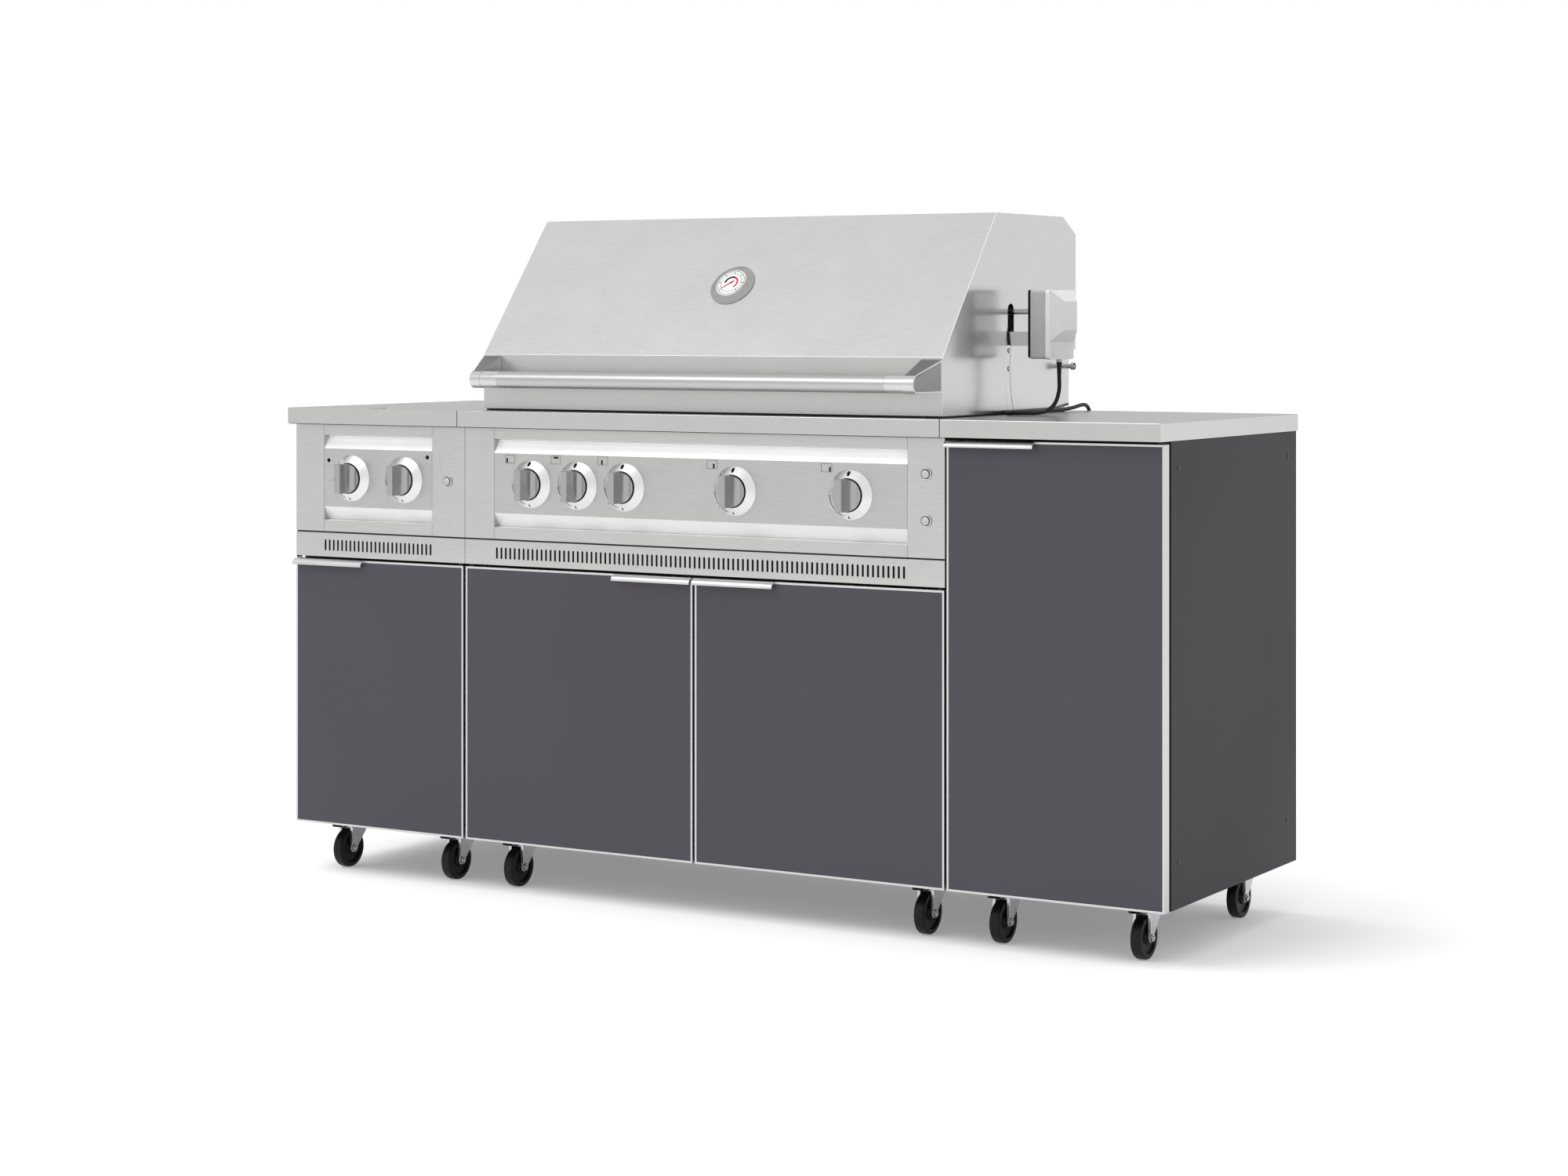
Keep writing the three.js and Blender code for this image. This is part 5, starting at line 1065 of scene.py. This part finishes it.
def fork_shape(with_pedal):
    front, top, eye = AXLE[0] - 8.5, 80.3, 8.5
    side = [(front, top), (front, 46)] + arc(AXLE, eye, math.pi * 1.02, math.pi * 1.88, 14) + [(22, top)]
    shapes = [(prism(side, span, along_x), ZINC) for span in ((11, 13.5), (-13.5, -11))]
    for sign in (1, -1):
        flange = [(13.0 * sign, top), (13.0 * sign, 40), (14.5 * sign, 40.5), (17 * sign, 50), (17 * sign, top)]
        shapes.append((prism(flange, (front, front + 2.5), along_y), ZINC))
    shapes.append((prism(rounded((-16, 16), (front - 1, 23), 4), (79, 81.5), along_z), ZINC))
    race = [(0, 81.2), (17, 81.2), (21.5, 83.2), (23, 86.4), (23, 88.2), (21.2, 90.4), (17, 91.7), (0, 91.7)]
    shapes.append((turned(race, (0, 0, 0), UP, 48), ZINC))
    shapes.append((rod(7.6, (0, *AXLE), RIGHT, -12, 12, 24), ZINC))
    for sign in (1, -1):
        shapes.append((prism(circle(AXLE, 7.0, 6), sorted((13.4 * sign, 18.0 * sign)), along_x), ZINC))
        shapes.append((rod(6.6, (0, *AXLE), (sign, 0, 0), 16.5, 19.6, 24), ZINC))
    if with_pedal:
        half, tip = (-15.5, 15.5), -62
        shapes.append((prism(rounded(half, (tip, -2), 5), (83.3, 86.3), along_z), ZINC))
        shapes.append((prism(rounded(half, (tip, -38), 5), (82.2, 88.3), along_z), WHEEL_CORE))
    return shapes


def wheel_shape():
    half, core, shoulder = 9.75, 6.0, 3.4
    tread = [(4.35, -9.6), (11, -9.6), (12, -8.2), (12.6, -core), (27.6, -core), (28.4, -9.3), (29.4, -half)]
    tread.append((33.2, -half))
    turns = [angle - math.pi / 2 for angle in (0.4, 0.8, 1.2, math.pi / 2)]
    tread += spots((AXLE[1] - shoulder, shoulder - half), shoulder, turns)
    right = [(r, -h) for r, h in reversed(tread)]
    return turned(tread + right, (0, *AXLE), RIGHT, 72, closed=True)


wheel = wheel_shape()
forks = {"front": fork_shape(True), "rear": fork_shape(False)}
for module, columns in (("left", (74, 341)), ("center", (490, 1380)), ("right", (1529, 1796))):
    for row, y in (("front", 125.0), ("rear", 545.5)):
        for column, x in enumerate(columns):
            tag = f"{module}_{row}_{column + 1}"
            kit = Kit()
            for shape, material in forks[row]:
                kit.add(shifted(shape, x, y, 0), material)
            kit.finish("fork_zinc_" + tag, "fork_" + tag, "fork_zinc", ("caster_fork_" + tag,), bevel=0.4)
            kit = Kit().add(shifted(wheel, x, y, 0), TYRE)
            kit.finish(
                "tyre_" + tag, "wheel_" + tag, "wheel_rubber", ("caster_wheel_" + tag,), bevel=0.3, angle=40
            )

# Screws of the side panels
SIDE_SCREWS = ((81, 838), (581, 838), (82, 175), (576, 176))
kit = Kit()
for side, x in ((1, CASE_RIGHT), (-1, CASE_LEFT)):
    for y, z in SIDE_SCREWS:
        screw_head(kit, (x, y, z), (side, 0, 0), 9.0, 1.6, DARK_SCREW)
kit.finish("side_screws", "island", "carcass_paint", bevel=0.1)

# Power cord: the same points as the solid's route
CORD_DIAMETER = 7.3
ROUTE = [
    (1514.7, 352.5, 1010.3), (1514.7, 352.5, 985), (1514, 353, 958),
    (1511, 342, 935), (1505, 322, 922.5), (1498.5, 298, 919),
    (1487, 276, 918.8), (1467, 268, 918.8), (1448.5, 278, 918.8),
    (1441, 298, 918.8), (1441, 340, 918.8), (1443, 420, 918.8),
    (1445, 520, 919.4), (1446, 560, 922), (1446, 588, 925.2),
    (1446, 604.9, 925.8), (1446, 616, 923.6), (1446, 625.4, 917.3),
    (1446, 631.7, 907.9), (1446, 633.9, 896.8), (1446, 634, 700),
    (1446, 634, 400), (1446, 634, 90), (1446, 634.5, 46),
    (1442.8, 636, 29), (1434, 639, 16), (1421, 643, 7.6),
    (1405, 647, 4.6), (1370, 654, 4.4), (1335, 659, 5.6),
    (1300, 662.5, 9), (1272, 664, 11.2), (1245, 664, 11.4),
]


def smooth_path(points, steps):
    """A centripetal Catmull-Rom curve through the points."""
    points = [Vector(p) for p in points]
    ends = [points[0] * 2 - points[1]] + points + [points[-1] * 2 - points[-2]]
    path = []
    for a, b, c, d in zip(ends, ends[1:], ends[2:], ends[3:]):
        gaps = [max((q - p).length ** 0.5, 1e-6) for p, q in ((a, b), (b, c), (c, d))]
        first = ((b - a) / gaps[0] - (c - a) / (gaps[0] + gaps[1]) + (c - b) / gaps[1]) * gaps[1]
        second = ((c - b) / gaps[1] - (d - b) / (gaps[1] + gaps[2]) + (d - c) / gaps[2]) * gaps[1]
        for i in range(steps):
            t = i / steps
            path.append(
                b * (2 * t**3 - 3 * t**2 + 1)
                + first * (t**3 - 2 * t**2 + t)
                + c * (-2 * t**3 + 3 * t**2)
                + second * (t**3 - t**2)
            )
    return path + [points[-1]]


path = [place(*p) for p in smooth_path(ROUTE, 10)]
curve = bpy.data.curves.new("cord_line", "CURVE")
curve.dimensions = "3D"
curve.bevel_depth = CORD_DIAMETER / 2 / MM
curve.bevel_resolution = 6
curve.use_fill_caps = True
spline = curve.splines.new("POLY")
spline.points.add(len(path) - 1)
for point, spot in zip(spline.points, path):
    point.co = (*spot, 1)
curve.materials.append(CORD)
cord = add_object("cord_line", curve)
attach(cord, "island")
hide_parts("power_cord")

kit = Kit()
relief = [(3.7, 1010.4), (5.0, 1010.4), (5.0, 1007.5), (4.5, 1005), (4.2, 999), (3.95, 990), (3.7, 988.5)]
kit.add(turned(relief, GLAND, UP, 40, closed=True), CORD)
kit.finish("cord_relief", "island", "cord_rubber", bevel=0.15)

# Plug: its body through three rings, two pins and the cord's sleeve
PLUG_Y, PLUG_Z = ROUTE[-1][1:]
kit = Kit()
rings = []
for width, height, x in ((14, 14, 1244.7), (30, 22, 1230.7), (30, 22, 1204.7)):
    y, z = (PLUG_Y - width / 2, PLUG_Y + width / 2), (PLUG_Z - height / 2, PLUG_Z + height / 2)
    rings.append([(x, v, w) for v, w in rounded(y, z, min(width, height) * 0.3, 6)])
kit.add(loft(*rings), CORD)
pin = [(0, -1206), (2.4, -1206), (2.4, -1187), (1.6, -1185.7), (0, -1185.7)]
for side in (-1, 1):
    kit.add(turned(pin, (0, PLUG_Y + side * 9.5, PLUG_Z), (-1, 0, 0), 24), SPIT_STEEL)
sleeve = [(3.7, 1244.3), (5.6, 1244.3), (5.0, 1256), (4.2, 1268), (3.7, 1269)]
kit.add(turned(sleeve, (0, PLUG_Y, PLUG_Z), RIGHT, 32, closed=True), CORD)
plug = kit.finish("plug_body", "island", "plug_rubber", ("plug",), bevel=0.8, angle=35)

# Floor: white for the camera and in reflections, and with the part's shadow
REACH, FLOOR_TONE, FLOOR_GLOW = 40.0, 0.80, 0.24
WHITE = (1, 1, 1, 1)
floor_data = bpy.data.meshes.new("floor")
corners = [(x, y, 0) for x, y in rectangle((-REACH, REACH), (-REACH, REACH))]
floor_data.from_pydata(corners, [], [(0, 1, 2, 3)])
floor = add_object("floor", floor_data)
ground = bpy.data.materials.new("floor_white")
graph = Graph(ground, "ShaderNodeOutputMaterial")
diffuse = graph.node("ShaderNodeBsdfDiffuse", {"Color": (*grey(FLOOR_TONE), 1)})
lift = graph.math("MULTIPLY", graph.seen_by("Is Camera Ray", "Is Glossy Ray"), FLOOR_GLOW)
glow = graph.node("ShaderNodeEmission", {"Color": WHITE, "Strength": lift})
graph.show(graph.node("ShaderNodeAddShader", {0: diffuse.outputs[0], 1: glow.outputs[0]}))
floor_data.materials.append(ground)

# Surroundings: white where they are seen, dimmer as a light
world = bpy.data.worlds.new("studio")
bpy.context.scene.world = world
graph = Graph(world, "ShaderNodeOutputWorld")
seen = graph.node("ShaderNodeBackground", {"Color": WHITE, "Strength": 1.0})
lighting = graph.node("ShaderNodeBackground", {"Color": WHITE, "Strength": 0.78})
looks = graph.seen_by("Is Camera Ray", "Is Glossy Ray", "Is Transmission Ray")
graph.show(graph.node("ShaderNodeMixShader", {0: looks, 1: lighting.outputs[0], 2: seen.outputs[0]}))


# Lamps: parallel daylight with soft shadows, and two soft boxes, each with its spot, target, size and power
def lamp(name, kind, power, turn, **values):
    data = bpy.data.lights.new(name, kind)
    data.energy = power
    for key, value in values.items():
        setattr(data, key, value)
    made = add_object(name, data)
    made.rotation_euler = turn.to_euler()
    return made


day = lamp("day", "SUN", 1.1, Vector((-0.50, -0.20, 0.84)).to_track_quat("Z", "Y"), angle=math.radians(50))
day.visible_glossy = False
for name, spot, target, (width, depth), power in (
    ("key", (-1.5, -3.5, 4.2), (0, 0, 0.8), (3.2, 2.2), 66),
    ("overhead", (0.4, 0.3, 4.0), (0.2, 0.1, 0.5), (3.5, 2.5), 25),
):
    turn = (Vector(target) - Vector(spot)).to_track_quat("-Z", "Y")
    box = lamp(name, "AREA", power, turn, shape="RECTANGLE", size=width, size_y=depth)
    box.location = spot
    box.visible_glossy = name == "key"


scene = bpy.context.scene
scene.view_settings.view_transform = "Standard"
